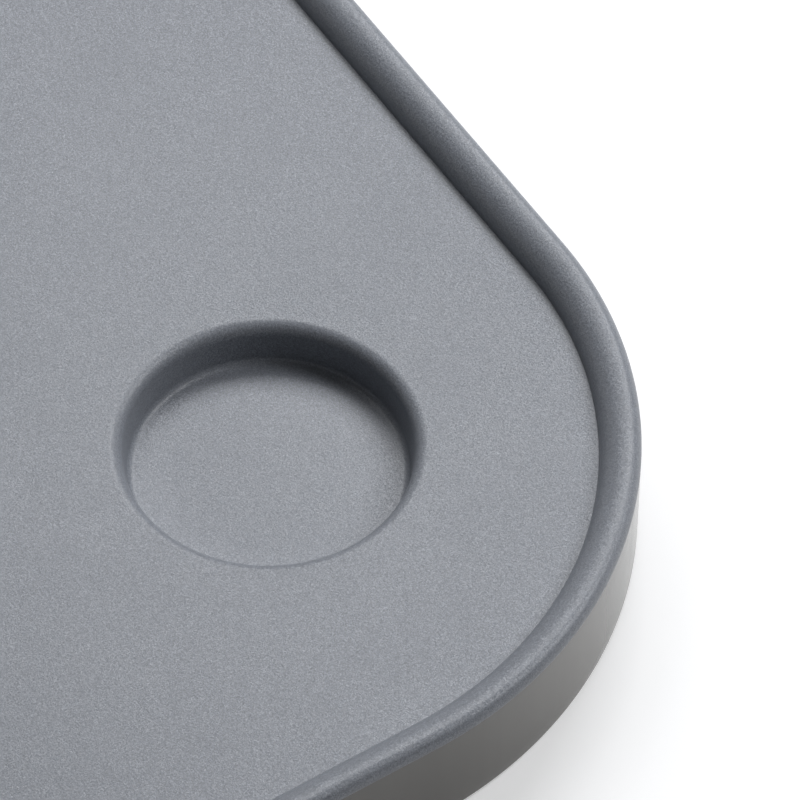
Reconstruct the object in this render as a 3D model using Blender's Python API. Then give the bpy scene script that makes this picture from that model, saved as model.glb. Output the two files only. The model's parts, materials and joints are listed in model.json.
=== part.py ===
"""Wheelchair tray: a moulded tray with a beaded rim, a cup recess and armrest straps.

Metres, +Z up. The user sits on the -Y side. The origin is under the middle of the tray, at the
level of the rubber rests that the tray stands on.
"""

import math

import bmesh
import bpy
from mathutils import Matrix

# Tray outline, measured over the foot of the skirt.
TRAY_WIDTH = 0.600
TRAY_DEPTH = 0.480
FAR_CORNER_RADIUS = 0.115
NEAR_CORNER_RADIUS = 0.060
BELLY_DEPTH = 0.110
BELLY_RADIUS = 0.180
SHOULDER_RADIUS = 0.055

# Section through the rim.
FLOOR_THICKNESS = 0.0032
SKIRT_WALL = 0.0030
SKIRT_DEPTH = 0.0244
SKIRT_DRAFT = 0.0002
SKIRT_EDGE_RADIUS = 0.0008
RIM_HEIGHT = 0.0078
BEAD_INNER_RADIUS = 0.0076
BEAD_OUTER_RADIUS = 0.0029
CREASE_RADIUS = RIM_HEIGHT - BEAD_INNER_RADIUS
UNDERSIDE_FILLET = 0.0020

# Cup recess, with its centre measured in from the far and right edges.
CUP_FROM_RIGHT = 0.1047
CUP_FROM_FAR = 0.0970
CUP_RADIUS = 0.0370
CUP_LIP_RADIUS = 0.0035
CUP_DEPTH = 0.0120
CUP_WALL = 0.0028
CUP_DRAFT = 0.0008
CUP_FOOT_RADIUS = 0.0020

# Ribs under the floor. Cross ribs are measured from the near edge or the far edge.
RIB_THICKNESS = 0.0022
RIB_DEPTH = 0.0060
RIB_STEP = 0.0004
LONG_RIB_X = (-0.090, 0.0, 0.090)
CROSS_RIB_FROM_NEAR = (0.160, 0.300)
FAR_RIB_FROM_FAR = 0.050

# Rubber rests and the frames that hold them. Their centres are measured from the tray's edges.
REST_FROM_SIDE = 0.050
REST_FROM_NEAR = (0.050, 0.160, 0.290)
REST_WIDTH = 0.046
REST_LENGTH = 0.058
REST_THICKNESS = 0.0027
REST_PROUD = 0.0010
REST_CORNER_RADIUS = 0.006
REST_GROOVE_WIDTH = 0.0016
REST_GROOVE_DEPTH = 0.0008
REST_GROOVE_PITCH = 0.0080
REST_MARGIN = 0.003
STEM_RADIUS = 0.0030
STEM_LENGTH = 0.0100
FRAME_WALL = 0.0022
STEM_BOSS_WALL = 0.0024

# Straps, one at each station on each side. Stations are measured from the near edge.
STATION_FROM_NEAR = (0.103, 0.225)
STRAP_WIDTH = 0.038
STRAP_THICKNESS = 0.0015
ANCHOR_X = 0.136
TIP_X = 0.154
TIP_CORNER_RADIUS = 0.009
PATCH_LENGTH = 0.050
PATCH_WIDTH = 0.034
PATCH_FROM_TIP = 0.005
PATCH_CORNER_RADIUS = 0.003

# Anchor plates, brackets and rings.
BOSS_DEPTH = 0.0100
BOSS_RADIUS = 0.0050
WEB_THICKNESS = 0.0024
WEB_SETBACK = 0.0010
PLATE_WIDTH = 0.022
PLATE_LENGTH = 0.044
PLATE_THICKNESS = 0.0020
PLATE_CORNER_RADIUS = 0.003
ANCHOR_SCREW_SPACING = 0.024
HINGE_FROM_SIDE = 0.0185
WIRE_RADIUS = 0.0015
RING_REACH = 0.0155
RING_CORNER_RADIUS = 0.0035
STRAP_PLAY = 0.0010
LEAF_THICKNESS = 0.0015
LEAF_LENGTH = 0.030
LEAF_REACH = 0.0135
KNUCKLE_WRAP = math.radians(255)
BRACKET_SCREW_REACH = 0.0087
BRACKET_SCREW_SPACING = 0.017

# Screws.
SCREW_RADIUS = 0.0018
SCREW_LENGTH = 0.0105
SCREW_POINT = 0.0015
HEAD_RADIUS = 0.0036
HEAD_HEIGHT = 0.0020
HEAD_DOME = 0.0009
CROWN_RADIUS = 0.0022
CROWN_DROP = 0.0002
DRIVE_LENGTH = 0.0036
DRIVE_WIDTH = 0.0009
DRIVE_DEPTH = 0.0009

# Clearance between pieces that touch, and how far a fused shape reaches into its neighbour.
GAP = 0.0003
OVERLAP = 0.0012

# Sizes that follow from the ones above.
NEAR_Y = -TRAY_DEPTH / 2
HINGE_X = TRAY_WIDTH / 2 - HINGE_FROM_SIDE
REST_X = TRAY_WIDTH / 2 - REST_FROM_SIDE
REST_Y = [NEAR_Y + along for along in REST_FROM_NEAR]
CREST_INSET = SKIRT_DRAFT + BEAD_OUTER_RADIUS
RIM_WIDTH = CREST_INSET + BEAD_INNER_RADIUS + CREASE_RADIUS
SKIRT_FOOT_Z = REST_PROUD
FLOOR_Z = SKIRT_FOOT_Z + SKIRT_DEPTH
UNDERSIDE_Z = FLOOR_Z - FLOOR_THICKNESS
BOSS_FOOT_Z = UNDERSIDE_Z - BOSS_DEPTH
LEAF_TOP_Z = BOSS_FOOT_Z - GAP
HINGE_Z = LEAF_TOP_Z - LEAF_THICKNESS - GAP - WIRE_RADIUS
STRAP_LOOP_RADIUS = WIRE_RADIUS + GAP + STRAP_THICKNESS / 2
STRAP_FOOT_Z = BOSS_FOOT_Z - GAP - STRAP_THICKNESS
PLATE_TOP_Z = STRAP_FOOT_Z - GAP
ANCHOR_SEAT_Z = PLATE_TOP_Z - PLATE_THICKNESS - GAP
BRACKET_SEAT_Z = LEAF_TOP_Z - LEAF_THICKNESS - GAP
CUP_X = TRAY_WIDTH / 2 - CUP_FROM_RIGHT
CUP_Y = TRAY_DEPTH / 2 - CUP_FROM_FAR
FRAME_FOOT_Z = REST_THICKNESS + GAP

SIDES = {"right": 1, "left": -1}
STATIONS = {"near": NEAR_Y + STATION_FROM_NEAR[0], "far": NEAR_Y + STATION_FROM_NEAR[1]}

# How finely curves are cut into flat faces.
ARC_STEP = math.radians(7.5)
SMALL_ARC_STEP = math.radians(30)
BEAD_ARC_STEP = math.radians(15)
KNUCKLE_STEP = math.radians(24)
RECESS_STEPS = 40
HOLE_STEPS = 12
SCREW_STEPS = 10
WIRE_RESOLUTION = 2
SHARP_ANGLE = math.radians(35)


def clear_scene():
    for item in list(bpy.data.objects):
        bpy.data.objects.remove(item, do_unlink=True)


def material(name, colour, roughness, metallic=0.0):
    """A Principled material with the given base colour, roughness and metallic value."""
    made = bpy.data.materials.new(name)
    made.use_nodes = True
    shader = made.node_tree.nodes["Principled BSDF"]
    shader.inputs["Base Color"].default_value = (*colour, 1.0)
    shader.inputs["Roughness"].default_value = roughness
    shader.inputs["Metallic"].default_value = metallic
    return made


def arc(centre, radius, start, end, step=ARC_STEP):
    """Points on a circle from one angle to another, both ends included."""
    count = max(2, math.ceil(abs(end - start) / step - 1e-6))
    angles = [start + (end - start) * i / count for i in range(count + 1)]
    return [(centre[0] + radius * math.cos(a), centre[1] + radius * math.sin(a)) for a in angles]


def tray_outline(inset):
    """The closed outline of the tray, a given distance inside the foot of the skirt.

    The right half runs from the middle of the belly cut-out to the middle of the far edge. The
    cut-out is a circle about a point on the centreline, and a shoulder circle touches both it and
    the near edge.
    """
    half_width = TRAY_WIDTH / 2
    half_depth = TRAY_DEPTH / 2
    belly_y = BELLY_DEPTH - half_depth - BELLY_RADIUS
    shoulder_y = SHOULDER_RADIUS - half_depth
    shoulder_x = math.sqrt((BELLY_RADIUS + SHOULDER_RADIUS) ** 2 - (shoulder_y - belly_y) ** 2)
    turn = math.atan2(shoulder_x, shoulder_y - belly_y)
    near = (half_width - NEAR_CORNER_RADIUS, NEAR_CORNER_RADIUS - half_depth)
    far = (half_width - FAR_CORNER_RADIUS, half_depth - FAR_CORNER_RADIUS)
    quarter = math.pi / 2
    right = arc((0, belly_y), BELLY_RADIUS + inset, quarter, quarter - turn)
    right += arc(
        (shoulder_x, shoulder_y), SHOULDER_RADIUS - inset, 3 * quarter - turn, 3 * quarter
    )[1:]
    right += arc(near, NEAR_CORNER_RADIUS - inset, -quarter, 0)
    right += arc(far, FAR_CORNER_RADIUS - inset, 0, quarter)
    left = [(-x, y) for x, y in reversed(right) if x > 1e-9]
    return right + left


def rim_profile():
    """Points of the rim's section as (inset from the skirt's foot, height).

    It runs from the floor into the crease, over the bead, down the skirt, round its edge, up the
    inside of the skirt and round to the underside of the floor. The bead is a large quarter round
    on the floor's side and a small one on the skirt's side, with one crest between them.
    """
    half = math.pi / 2
    crest_z = FLOOR_Z + RIM_HEIGHT
    crease = (RIM_WIDTH, FLOOR_Z + CREASE_RADIUS)
    inner = (CREST_INSET, crest_z - BEAD_INNER_RADIUS)
    outer = (CREST_INSET, crest_z - BEAD_OUTER_RADIUS)
    points = arc(crease, CREASE_RADIUS, -half, -2 * half, half)[:-1]
    points += arc(inner, BEAD_INNER_RADIUS, 0, half, BEAD_ARC_STEP)
    points += arc(outer, BEAD_OUTER_RADIUS, half, 2 * half, SMALL_ARC_STEP)[1:]
    edge = SKIRT_EDGE_RADIUS
    points += arc((edge, SKIRT_FOOT_Z + edge), edge, 2 * half, 3 * half, half)
    points += arc((SKIRT_WALL - edge, SKIRT_FOOT_Z + edge), edge, 3 * half, 4 * half, half)
    corner = (SKIRT_WALL + SKIRT_DRAFT + UNDERSIDE_FILLET, UNDERSIDE_Z - UNDERSIDE_FILLET)
    points += arc(corner, UNDERSIDE_FILLET, 2 * half, half, half)
    return points


def loft(rings, name):
    """A closed solid through rings of points, with a face over the first and the last ring."""
    bm = bmesh.new()
    loops = [[bm.verts.new(point) for point in ring] for ring in rings]
    for lower, upper in zip(loops, loops[1:]):
        for i in range(len(lower)):
            j = (i + 1) % len(lower)
            bm.faces.new((lower[i], lower[j], upper[j], upper[i]))
    bm.faces.new(loops[0])
    bm.faces.new(loops[-1])
    bmesh.ops.recalc_face_normals(bm, faces=bm.faces)
    return mesh_from(bm, name)


def mesh_from(bm, name):
    mesh = bpy.data.meshes.new(name)
    bm.to_mesh(mesh)
    bm.free()
    return mesh


def prism(outline, low, high, name, along="Z"):
    """A solid with the given outline, from one level to another along Z or Y."""
    if along == "Z":
        rings = [[(x, y, level) for x, y in outline] for level in (low, high)]
    else:
        rings = [[(x, level, z) for x, z in outline] for level in (low, high)]
    return loft(rings, name)


def turned(profile, name, steps):
    """A solid turned about Z from a profile of (radius, height) with its ends on the axis."""
    bm = bmesh.new()
    verts = [bm.verts.new((radius, 0, z)) for radius, z in profile]
    edges = [bm.edges.new(pair) for pair in zip(verts, verts[1:])]
    bmesh.ops.spin(
        bm, geom=verts + edges, cent=(0, 0, 0), axis=(0, 0, 1), angle=2 * math.pi, steps=steps
    )
    bmesh.ops.remove_doubles(bm, verts=bm.verts, dist=1e-6)
    bmesh.ops.recalc_face_normals(bm, faces=bm.faces)
    return mesh_from(bm, name)


def cylinder(radius, low, high, name):
    return turned([(0, low), (radius, low), (radius, high), (0, high)], name, HOLE_STEPS)


def rounded_rectangle(width, length, radius, centre=(0, 0)):
    """The outline of a rectangle with rounded corners."""
    points = []
    for i, (sx, sy) in enumerate(((1, 1), (-1, 1), (-1, -1), (1, -1))):
        corner = (
            centre[0] + sx * (width / 2 - radius),
            centre[1] + sy * (length / 2 - radius),
        )
        points += arc(corner, radius, i * math.pi / 2, (i + 1) * math.pi / 2, SMALL_ARC_STEP)
    return points


def place(name, mesh, finish, location=(0, 0, 0), parent=None):
    """A named object for one piece, shaded smooth but for its sharp edges."""
    item = bpy.data.objects.new(name, mesh)
    item.location = location
    item.parent = parent
    bpy.context.scene.collection.objects.link(item)
    if not mesh.materials:
        mesh.materials.append(finish)
    mesh.shade_smooth()
    mesh.set_sharp_from_angle(angle=SHARP_ANGLE)
    return item


def change(target, mesh, operation, location=(0, 0, 0)):
    """Fuses a shape to a piece, or cuts it away, with a Boolean. Its tool stays hidden."""
    tool = bpy.data.objects.new(f"{target.name}_{mesh.name}", mesh)
    tool.location = location
    tool.parent = target
    tool.hide_render = True
    tool.display_type = "WIRE"
    bpy.context.scene.collection.objects.link(tool)
    modifier = target.modifiers.new(mesh.name, "BOOLEAN")
    modifier.operation = operation
    modifier.solver = "EXACT"
    modifier.object = tool


def finished(item):
    """The mesh of a piece with its Booleans applied, so that copies can share it."""
    bpy.context.view_layer.update()
    graph = bpy.context.evaluated_depsgraph_get()
    mesh = bpy.data.meshes.new_from_object(item.evaluated_get(graph))
    for tool in list(item.children):
        bpy.data.objects.remove(tool, do_unlink=True)
    bpy.data.objects.remove(item, do_unlink=True)
    return mesh


def cup_cutter():
    """The space inside the cup recess, wider at the lip and rounded at the foot."""
    top = FLOOR_Z + RIM_HEIGHT
    lip_z = FLOOR_Z - CUP_LIP_RADIUS
    foot_z = FLOOR_Z - CUP_DEPTH
    foot = CUP_RADIUS - CUP_DRAFT - CUP_FOOT_RADIUS
    lip_radius = CUP_RADIUS + CUP_LIP_RADIUS
    quarter = math.pi / 2
    lip = arc((lip_radius, lip_z), CUP_LIP_RADIUS, quarter, 2 * quarter, SMALL_ARC_STEP)
    toe = arc((foot, foot_z + CUP_FOOT_RADIUS), CUP_FOOT_RADIUS, 0, -quarter, SMALL_ARC_STEP)
    profile = [(0, top), (lip_radius, top)] + lip + toe + [(0, foot_z)]
    return turned(profile, "cup_space", RECESS_STEPS)


def cup_drum():
    """The outside of the cup recess under the floor."""
    foot_z = FLOOR_Z - CUP_DEPTH - CUP_WALL
    radius = CUP_RADIUS + CUP_WALL
    flare = radius + CUP_LIP_RADIUS
    top = UNDERSIDE_Z + OVERLAP
    profile = [
        (0, top),
        (flare, top),
        (flare, UNDERSIDE_Z - GAP),
        (radius, UNDERSIDE_Z - CUP_LIP_RADIUS),
        (radius - CUP_DRAFT, foot_z + CUP_FOOT_RADIUS),
        (radius - CUP_FOOT_RADIUS, foot_z),
        (0, foot_z),
    ]
    return turned(profile, "cup_drum", RECESS_STEPS)


def belly_edge_y(x):
    """Where the inner face of the skirt round the belly cut-out lies, at a distance x out."""
    centre_y = BELLY_DEPTH - TRAY_DEPTH / 2 - BELLY_RADIUS
    return centre_y + math.sqrt((BELLY_RADIUS + SKIRT_WALL) ** 2 - x * x)


def gathered(shapes, name):
    """One mesh of several shapes that don't meet, each moved to its own place."""
    bm = bmesh.new()
    for mesh, spot in shapes:
        mesh.transform(Matrix.Translation(spot))
        bm.from_mesh(mesh)
    return mesh_from(bm, name)


def box_outline(x, y, half_x, half_y):
    return [
        (x - half_x, y - half_y),
        (x + half_x, y - half_y),
        (x + half_x, y + half_y),
        (x - half_x, y + half_y),
    ]


def hollow_prism(outer, inner, low, high, name):
    """A wall between two outlines with as many points each, open at both ends."""
    bm = bmesh.new()
    loops = []
    for outline, level in ((outer, low), (outer, high), (inner, high), (inner, low)):
        loops.append([bm.verts.new((x, y, level)) for x, y in outline])
    for lower, upper in zip(loops, loops[1:] + loops[:1]):
        for i in range(len(lower)):
            j = (i + 1) % len(lower)
            bm.faces.new((lower[i], lower[j], upper[j], upper[i]))
    bmesh.ops.recalc_face_normals(bm, faces=bm.faces)
    return mesh_from(bm, name)


def boss(radius, hole_radius, foot, hole_top, name):
    """A boss that hangs from the floor, with a blind hole up from its foot."""
    top = UNDERSIDE_Z + OVERLAP
    profile = [(0, top), (radius, top), (radius, foot), (hole_radius, foot)]
    return turned(profile + [(hole_radius, hole_top), (0, hole_top)], name, HOLE_STEPS)


def add_ribs(shell):
    """Long ribs from the belly cut-out to the far skirt, and cross ribs from side to side."""
    low = UNDERSIDE_Z - RIB_DEPTH
    high = UNDERSIDE_Z + OVERLAP
    half = RIB_THICKNESS / 2
    far_end = TRAY_DEPTH / 2 - SKIRT_WALL + OVERLAP
    ribs = []
    for x in LONG_RIB_X:
        near_end = belly_edge_y(abs(x) - half) - OVERLAP
        middle = (near_end + far_end) / 2
        outline = box_outline(x, middle, half, (far_end - near_end) / 2)
        ribs.append((prism(outline, low, high, "rib"), (0, 0, 0)))
    change(shell, gathered(ribs, "long_ribs"), "UNION")
    side_end = TRAY_WIDTH / 2 - SKIRT_WALL + OVERLAP
    spans = [(NEAR_Y + along, side_end) for along in CROSS_RIB_FROM_NEAR]
    corner_y = FAR_CORNER_RADIUS - FAR_RIB_FROM_FAR + half
    corner_x = TRAY_WIDTH / 2 - FAR_CORNER_RADIUS
    inner_corner = FAR_CORNER_RADIUS - SKIRT_WALL + OVERLAP
    far_end = corner_x + math.sqrt(inner_corner**2 - corner_y**2)
    spans.append((TRAY_DEPTH / 2 - FAR_RIB_FROM_FAR, far_end))
    low += RIB_STEP
    outlines = [box_outline(0, y, end, half) for y, end in spans]
    ribs = [(prism(outline, low, high, "rib"), (0, 0, 0)) for outline in outlines]
    change(shell, gathered(ribs, "cross_ribs"), "UNION")


def add_fixings(shell):
    """Webbed screw bosses for every strap, and a frame with a boss for every rubber rest."""
    high = UNDERSIDE_Z + OVERLAP
    bosses = []
    webs = []
    stations = []
    for sign in SIDES.values():
        for y in STATIONS.values():
            stations.append((sign * ANCHOR_X, y, ANCHOR_SCREW_SPACING, ANCHOR_SEAT_Z))
            bracket_x = sign * (HINGE_X + BRACKET_SCREW_REACH)
            stations.append((bracket_x, y, BRACKET_SCREW_SPACING, BRACKET_SEAT_Z))
    for x, y, spacing, seat_z in stations:
        hole_top = seat_z + SCREW_LENGTH + GAP
        half_web = spacing / 2 - BOSS_RADIUS + OVERLAP
        outline = box_outline(x, y, WEB_THICKNESS / 2, half_web)
        webs.append((prism(outline, BOSS_FOOT_Z + WEB_SETBACK, high, "web"), (0, 0, 0)))
        for end in (-1, 1):
            shape = boss(BOSS_RADIUS, SCREW_RADIUS + GAP, BOSS_FOOT_Z, hole_top, "boss")
            bosses.append((shape, (x, y + end * spacing / 2, 0)))
    width = REST_WIDTH - 2 * REST_MARGIN
    length = REST_LENGTH - 2 * REST_MARGIN
    outer = rounded_rectangle(width, length, REST_CORNER_RADIUS)
    inner = rounded_rectangle(
        width - 2 * FRAME_WALL, length - 2 * FRAME_WALL, REST_CORNER_RADIUS - FRAME_WALL
    )
    frames = []
    for sign in SIDES.values():
        for y in REST_Y:
            spot = (sign * REST_X, y, 0)
            frames.append((hollow_prism(outer, inner, FRAME_FOOT_Z, high, "frame"), spot))
            hole_radius = STEM_RADIUS + GAP
            hole_top = FRAME_FOOT_Z + STEM_LENGTH + GAP
            radius = hole_radius + STEM_BOSS_WALL
            bosses.append((boss(radius, hole_radius, FRAME_FOOT_Z, hole_top, "boss"), spot))
    change(shell, gathered(webs, "webs"), "UNION")
    change(shell, gathered(frames, "frames"), "UNION")
    change(shell, gathered(bosses, "bosses"), "UNION")


def make_tray_shell(finish):
    """The one moulding: floor, beaded rim, skirt, cup recess, ribs, bosses and frames."""
    rings = [[(x, y, z) for x, y in tray_outline(inset)] for inset, z in rim_profile()]
    shell = place("tray_shell", loft(rings, "tray_shell"), finish)
    add_ribs(shell)
    change(shell, cup_drum(), "UNION", (CUP_X, CUP_Y, 0))
    change(shell, cup_cutter(), "DIFFERENCE", (CUP_X, CUP_Y, 0))
    add_fixings(shell)


def make_rests(finish):
    """Rubber rests with grooves across their feet and a stem that pushes into the tray."""
    outline = rounded_rectangle(REST_WIDTH, REST_LENGTH, REST_CORNER_RADIUS)
    rest = place("rest", prism(outline, 0, REST_THICKNESS, "rest"), finish)
    top = FRAME_FOOT_Z + STEM_LENGTH
    change(rest, cylinder(STEM_RADIUS, REST_THICKNESS / 2, top, "stem"), "UNION")
    count = int((REST_LENGTH / 2 - REST_CORNER_RADIUS) / REST_GROOVE_PITCH)
    for i in range(-count, count):
        y = (i + 0.5) * REST_GROOVE_PITCH
        groove = box_outline(0, y, REST_WIDTH, REST_GROOVE_WIDTH / 2)
        change(rest, prism(groove, -OVERLAP, REST_GROOVE_DEPTH, f"groove_{i + count}"), "DIFFERENCE")
    mesh = finished(rest)
    for side, sign in SIDES.items():
        for i, y in enumerate(REST_Y):
            place(f"armrest_rest_{side}_{i + 1}", mesh, finish, (sign * REST_X, y, 0))


def screw_mesh(finish):
    """A pan-head screw with its shank pointing up and a cross drive, its head's seat at zero."""
    dome = [(0, -HEAD_HEIGHT), (CROWN_RADIUS, -HEAD_HEIGHT + CROWN_DROP)]
    profile = dome + [
        (HEAD_RADIUS, -HEAD_HEIGHT + HEAD_DOME),
        (HEAD_RADIUS, 0),
        (SCREW_RADIUS, 0),
        (SCREW_RADIUS, SCREW_LENGTH - SCREW_POINT),
        (0, SCREW_LENGTH),
    ]
    screw = place("screw", turned(profile, "screw", SCREW_STEPS), finish)
    low = -HEAD_HEIGHT - OVERLAP
    high = -HEAD_HEIGHT + DRIVE_DEPTH
    half_length = DRIVE_LENGTH / 2
    half_width = DRIVE_WIDTH / 2
    for i, (half_x, half_y) in enumerate(((half_length, half_width), (half_width, half_length))):
        slot = box_outline(0, 0, half_x, half_y)
        change(screw, prism(slot, low, high, f"drive_{i}"), "DIFFERENCE")
    return finished(screw)


def plate_mesh(finish):
    """An anchor plate with two screw holes, its top face at zero."""
    outline = rounded_rectangle(PLATE_WIDTH, PLATE_LENGTH, PLATE_CORNER_RADIUS)
    plate = place("plate", prism(outline, -PLATE_THICKNESS, 0, "plate"), finish)
    for i, sign in enumerate((-1, 1)):
        hole = cylinder(SCREW_RADIUS + GAP, -2 * PLATE_THICKNESS, PLATE_THICKNESS, f"hole_{i}")
        change(plate, hole, "DIFFERENCE", (0, sign * ANCHOR_SCREW_SPACING / 2, 0))
    return finished(plate)


def bracket_mesh(finish, sign):
    """A leaf rolled at one end round the wire of a ring, seen along the hinge at the origin.

    The roll starts on top of the wire and goes round its inner side, so the leaf points out to
    the skirt.
    """
    inner = WIRE_RADIUS + GAP
    outer = inner + LEAF_THICKNESS
    start = math.pi / 2
    points = [(LEAF_REACH, outer)]
    points += arc((0, 0), outer, start, start + KNUCKLE_WRAP, KNUCKLE_STEP)
    points += arc((0, 0), inner, start + KNUCKLE_WRAP, start, KNUCKLE_STEP)
    points += [(LEAF_REACH, inner)]
    half = LEAF_LENGTH / 2
    outline = [(sign * x, z) for x, z in points]
    bracket = place("bracket", prism(outline, -half, half, "bracket", along="Y"), finish)
    for i, side in enumerate((-1, 1)):
        hole = cylinder(SCREW_RADIUS + GAP, 0, 2 * outer, f"hole_{i}")
        spot = (sign * BRACKET_SCREW_REACH, side * BRACKET_SCREW_SPACING / 2, 0)
        change(bracket, hole, "DIFFERENCE", spot)
    return finished(bracket)


def strap_mesh(finish, sign):
    """The webbing of one strap, seen along the hinge at the origin, in the plane y = 0.

    It runs out from its anchor, round the far wire of the ring and back under itself to its tip.
    """
    wire_x = -RING_REACH
    start = ANCHOR_X - PLATE_WIDTH / 2 - HINGE_X
    tip = TIP_X - HINGE_X
    half = STRAP_THICKNESS / 2
    up = math.pi / 2
    outer_loop = arc((wire_x, 0), STRAP_LOOP_RADIUS + half, up, -up, SMALL_ARC_STEP)
    inner_loop = arc((wire_x, 0), STRAP_LOOP_RADIUS - half, -up, up, SMALL_ARC_STEP)
    points = [(start, STRAP_LOOP_RADIUS + half)] + outer_loop
    points += [(tip, -STRAP_LOOP_RADIUS - half), (tip, -STRAP_LOOP_RADIUS + half)]
    points += inner_loop + [(start, STRAP_LOOP_RADIUS - half)]
    outline = [(sign * x, z) for x, z in points]
    width = STRAP_WIDTH / 2
    strap = place("strap", prism(outline, -width, width, "strap", along="Y"), finish)
    for i, side in enumerate((-1, 1)):
        hole = cylinder(SCREW_RADIUS + GAP, 0, 2 * STRAP_LOOP_RADIUS, f"hole_{i}")
        spot = (sign * (ANCHOR_X - HINGE_X), side * ANCHOR_SCREW_SPACING / 2, 0)
        change(strap, hole, "DIFFERENCE", spot)
    for i, side in enumerate((-1, 1)):
        change(strap, tip_cutter(sign, side, f"tip_{i}"), "DIFFERENCE")
    return finished(strap)


def tip_cutter(sign, side, name):
    """What rounds one corner of a strap's tip."""
    radius = TIP_CORNER_RADIUS
    x = TIP_X - HINGE_X
    y = STRAP_WIDTH / 2
    corner = arc((x + radius, y - radius), radius, math.pi / 2, math.pi, SMALL_ARC_STEP)
    corner += [(x - OVERLAP, y - radius), (x - OVERLAP, y + OVERLAP), (x + radius, y + OVERLAP)]
    outline = [(sign * px, side * py) for px, py in corner]
    return prism(outline, -2 * STRAP_LOOP_RADIUS, 0, name)


def patch_mesh(sign):
    """The hook patch between the two runs of a strap, seen from the hinge."""
    high = STRAP_LOOP_RADIUS - STRAP_THICKNESS / 2 - GAP
    middle = TIP_X + PATCH_FROM_TIP + PATCH_LENGTH / 2 - HINGE_X
    outline = rounded_rectangle(PATCH_LENGTH, PATCH_WIDTH, PATCH_CORNER_RADIUS, (sign * middle, 0))
    return prism(outline, -high, high, "patch")


def place_ring(name, finish, sign, parent):
    """A closed wire ring that lies level, with one long side on the hinge."""
    width = STRAP_WIDTH + 2 * STRAP_PLAY + 2 * WIRE_RADIUS
    centre = (-sign * RING_REACH / 2, 0)
    points = rounded_rectangle(RING_REACH, width, RING_CORNER_RADIUS, centre)
    curve = bpy.data.curves.new(name, "CURVE")
    curve.dimensions = "3D"
    curve.bevel_depth = WIRE_RADIUS
    curve.bevel_resolution = WIRE_RESOLUTION
    spline = curve.splines.new("POLY")
    spline.points.add(len(points) - 1)
    for point, (x, y) in zip(spline.points, points):
        point.co = (x, y, 0, 1)
    spline.use_cyclic_u = True
    spline.use_smooth = True
    curve.materials.append(finish)
    item = bpy.data.objects.new(name, curve)
    item.parent = parent
    bpy.context.scene.collection.objects.link(item)


def make_strap_sets(finishes):
    """Every strap with its anchor plate, hook patch, bracket, ring and screws."""
    screw = screw_mesh(finishes["screw"])
    plate = plate_mesh(finishes["plate"])
    for side, sign in SIDES.items():
        bracket = bracket_mesh(finishes["bracket"], sign)
        strap = strap_mesh(finishes["strap"], sign)
        patch = patch_mesh(sign)
        for station, y in STATIONS.items():
            tag = f"{side}_{station}"
            hinge = bpy.data.objects.new(f"hinge_{tag}", None)
            hinge.location = (sign * HINGE_X, y, HINGE_Z)
            bpy.context.scene.collection.objects.link(hinge)
            place(f"strap_{tag}", strap, finishes["strap"], parent=hinge)
            place(f"hook_patch_{tag}", patch, finishes["patch"], parent=hinge)
            place(f"bracket_{tag}", bracket, finishes["bracket"], parent=hinge)
            place_ring(f"ring_{tag}", finishes["ring"], sign, hinge)
            anchor_x = sign * ANCHOR_X
            place(f"anchor_plate_{tag}", plate, finishes["plate"], (anchor_x, y, PLATE_TOP_Z))
            bracket_x = sign * (HINGE_X + BRACKET_SCREW_REACH)
            for i, end in enumerate((-1, 1)):
                dy = end * ANCHOR_SCREW_SPACING / 2
                spot = (anchor_x, y + dy, ANCHOR_SEAT_Z)
                place(f"anchor_screw_{tag}_{i + 1}", screw, finishes["screw"], spot)
                dy = end * BRACKET_SCREW_SPACING / 2
                spot = (bracket_x, y + dy, BRACKET_SEAT_Z)
                place(f"bracket_screw_{tag}_{i + 1}", screw, finishes["screw"], spot)


def main():
    clear_scene()
    finishes = {
        "shell": material("grey_abs", (0.30, 0.31, 0.33), 0.5),
        "rest": material("dark_rubber", (0.035, 0.035, 0.037), 0.8),
        "strap": material("black_webbing", (0.018, 0.018, 0.020), 0.9),
        "patch": material("black_hook_tape", (0.022, 0.022, 0.024), 0.95),
        "plate": material("black_plate", (0.04, 0.04, 0.042), 0.55),
        "bracket": material("stainless_leaf", (0.55, 0.55, 0.54), 0.35, 1.0),
        "ring": material("nickel_wire", (0.62, 0.61, 0.58), 0.22, 1.0),
        "screw": material("zinc_screw", (0.58, 0.59, 0.60), 0.3, 1.0),
    }
    make_tray_shell(finishes["shell"])
    make_rests(finishes["rest"])
    make_strap_sets(finishes)


main()
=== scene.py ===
# %% [markdown]
# # A wheelchair tray
#
# The real object is one grey plastic moulding that lies across the armrests of a wheelchair. It
# has a raised bead all round, a cup recess in one far corner and a cut-out for the body. Under it
# are rubber rests and four webbing straps with wire rings.
#
# The imported CAD model is the frame. Each finer piece made here sits where a CAD piece is, and
# all but the webbing ride on the same body, so that the rings still swing.

import json
import math

import bmesh
import bpy
import numpy as np
from mathutils import Matrix, Vector
from mathutils.geometry import delaunay_2d_cdt


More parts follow.
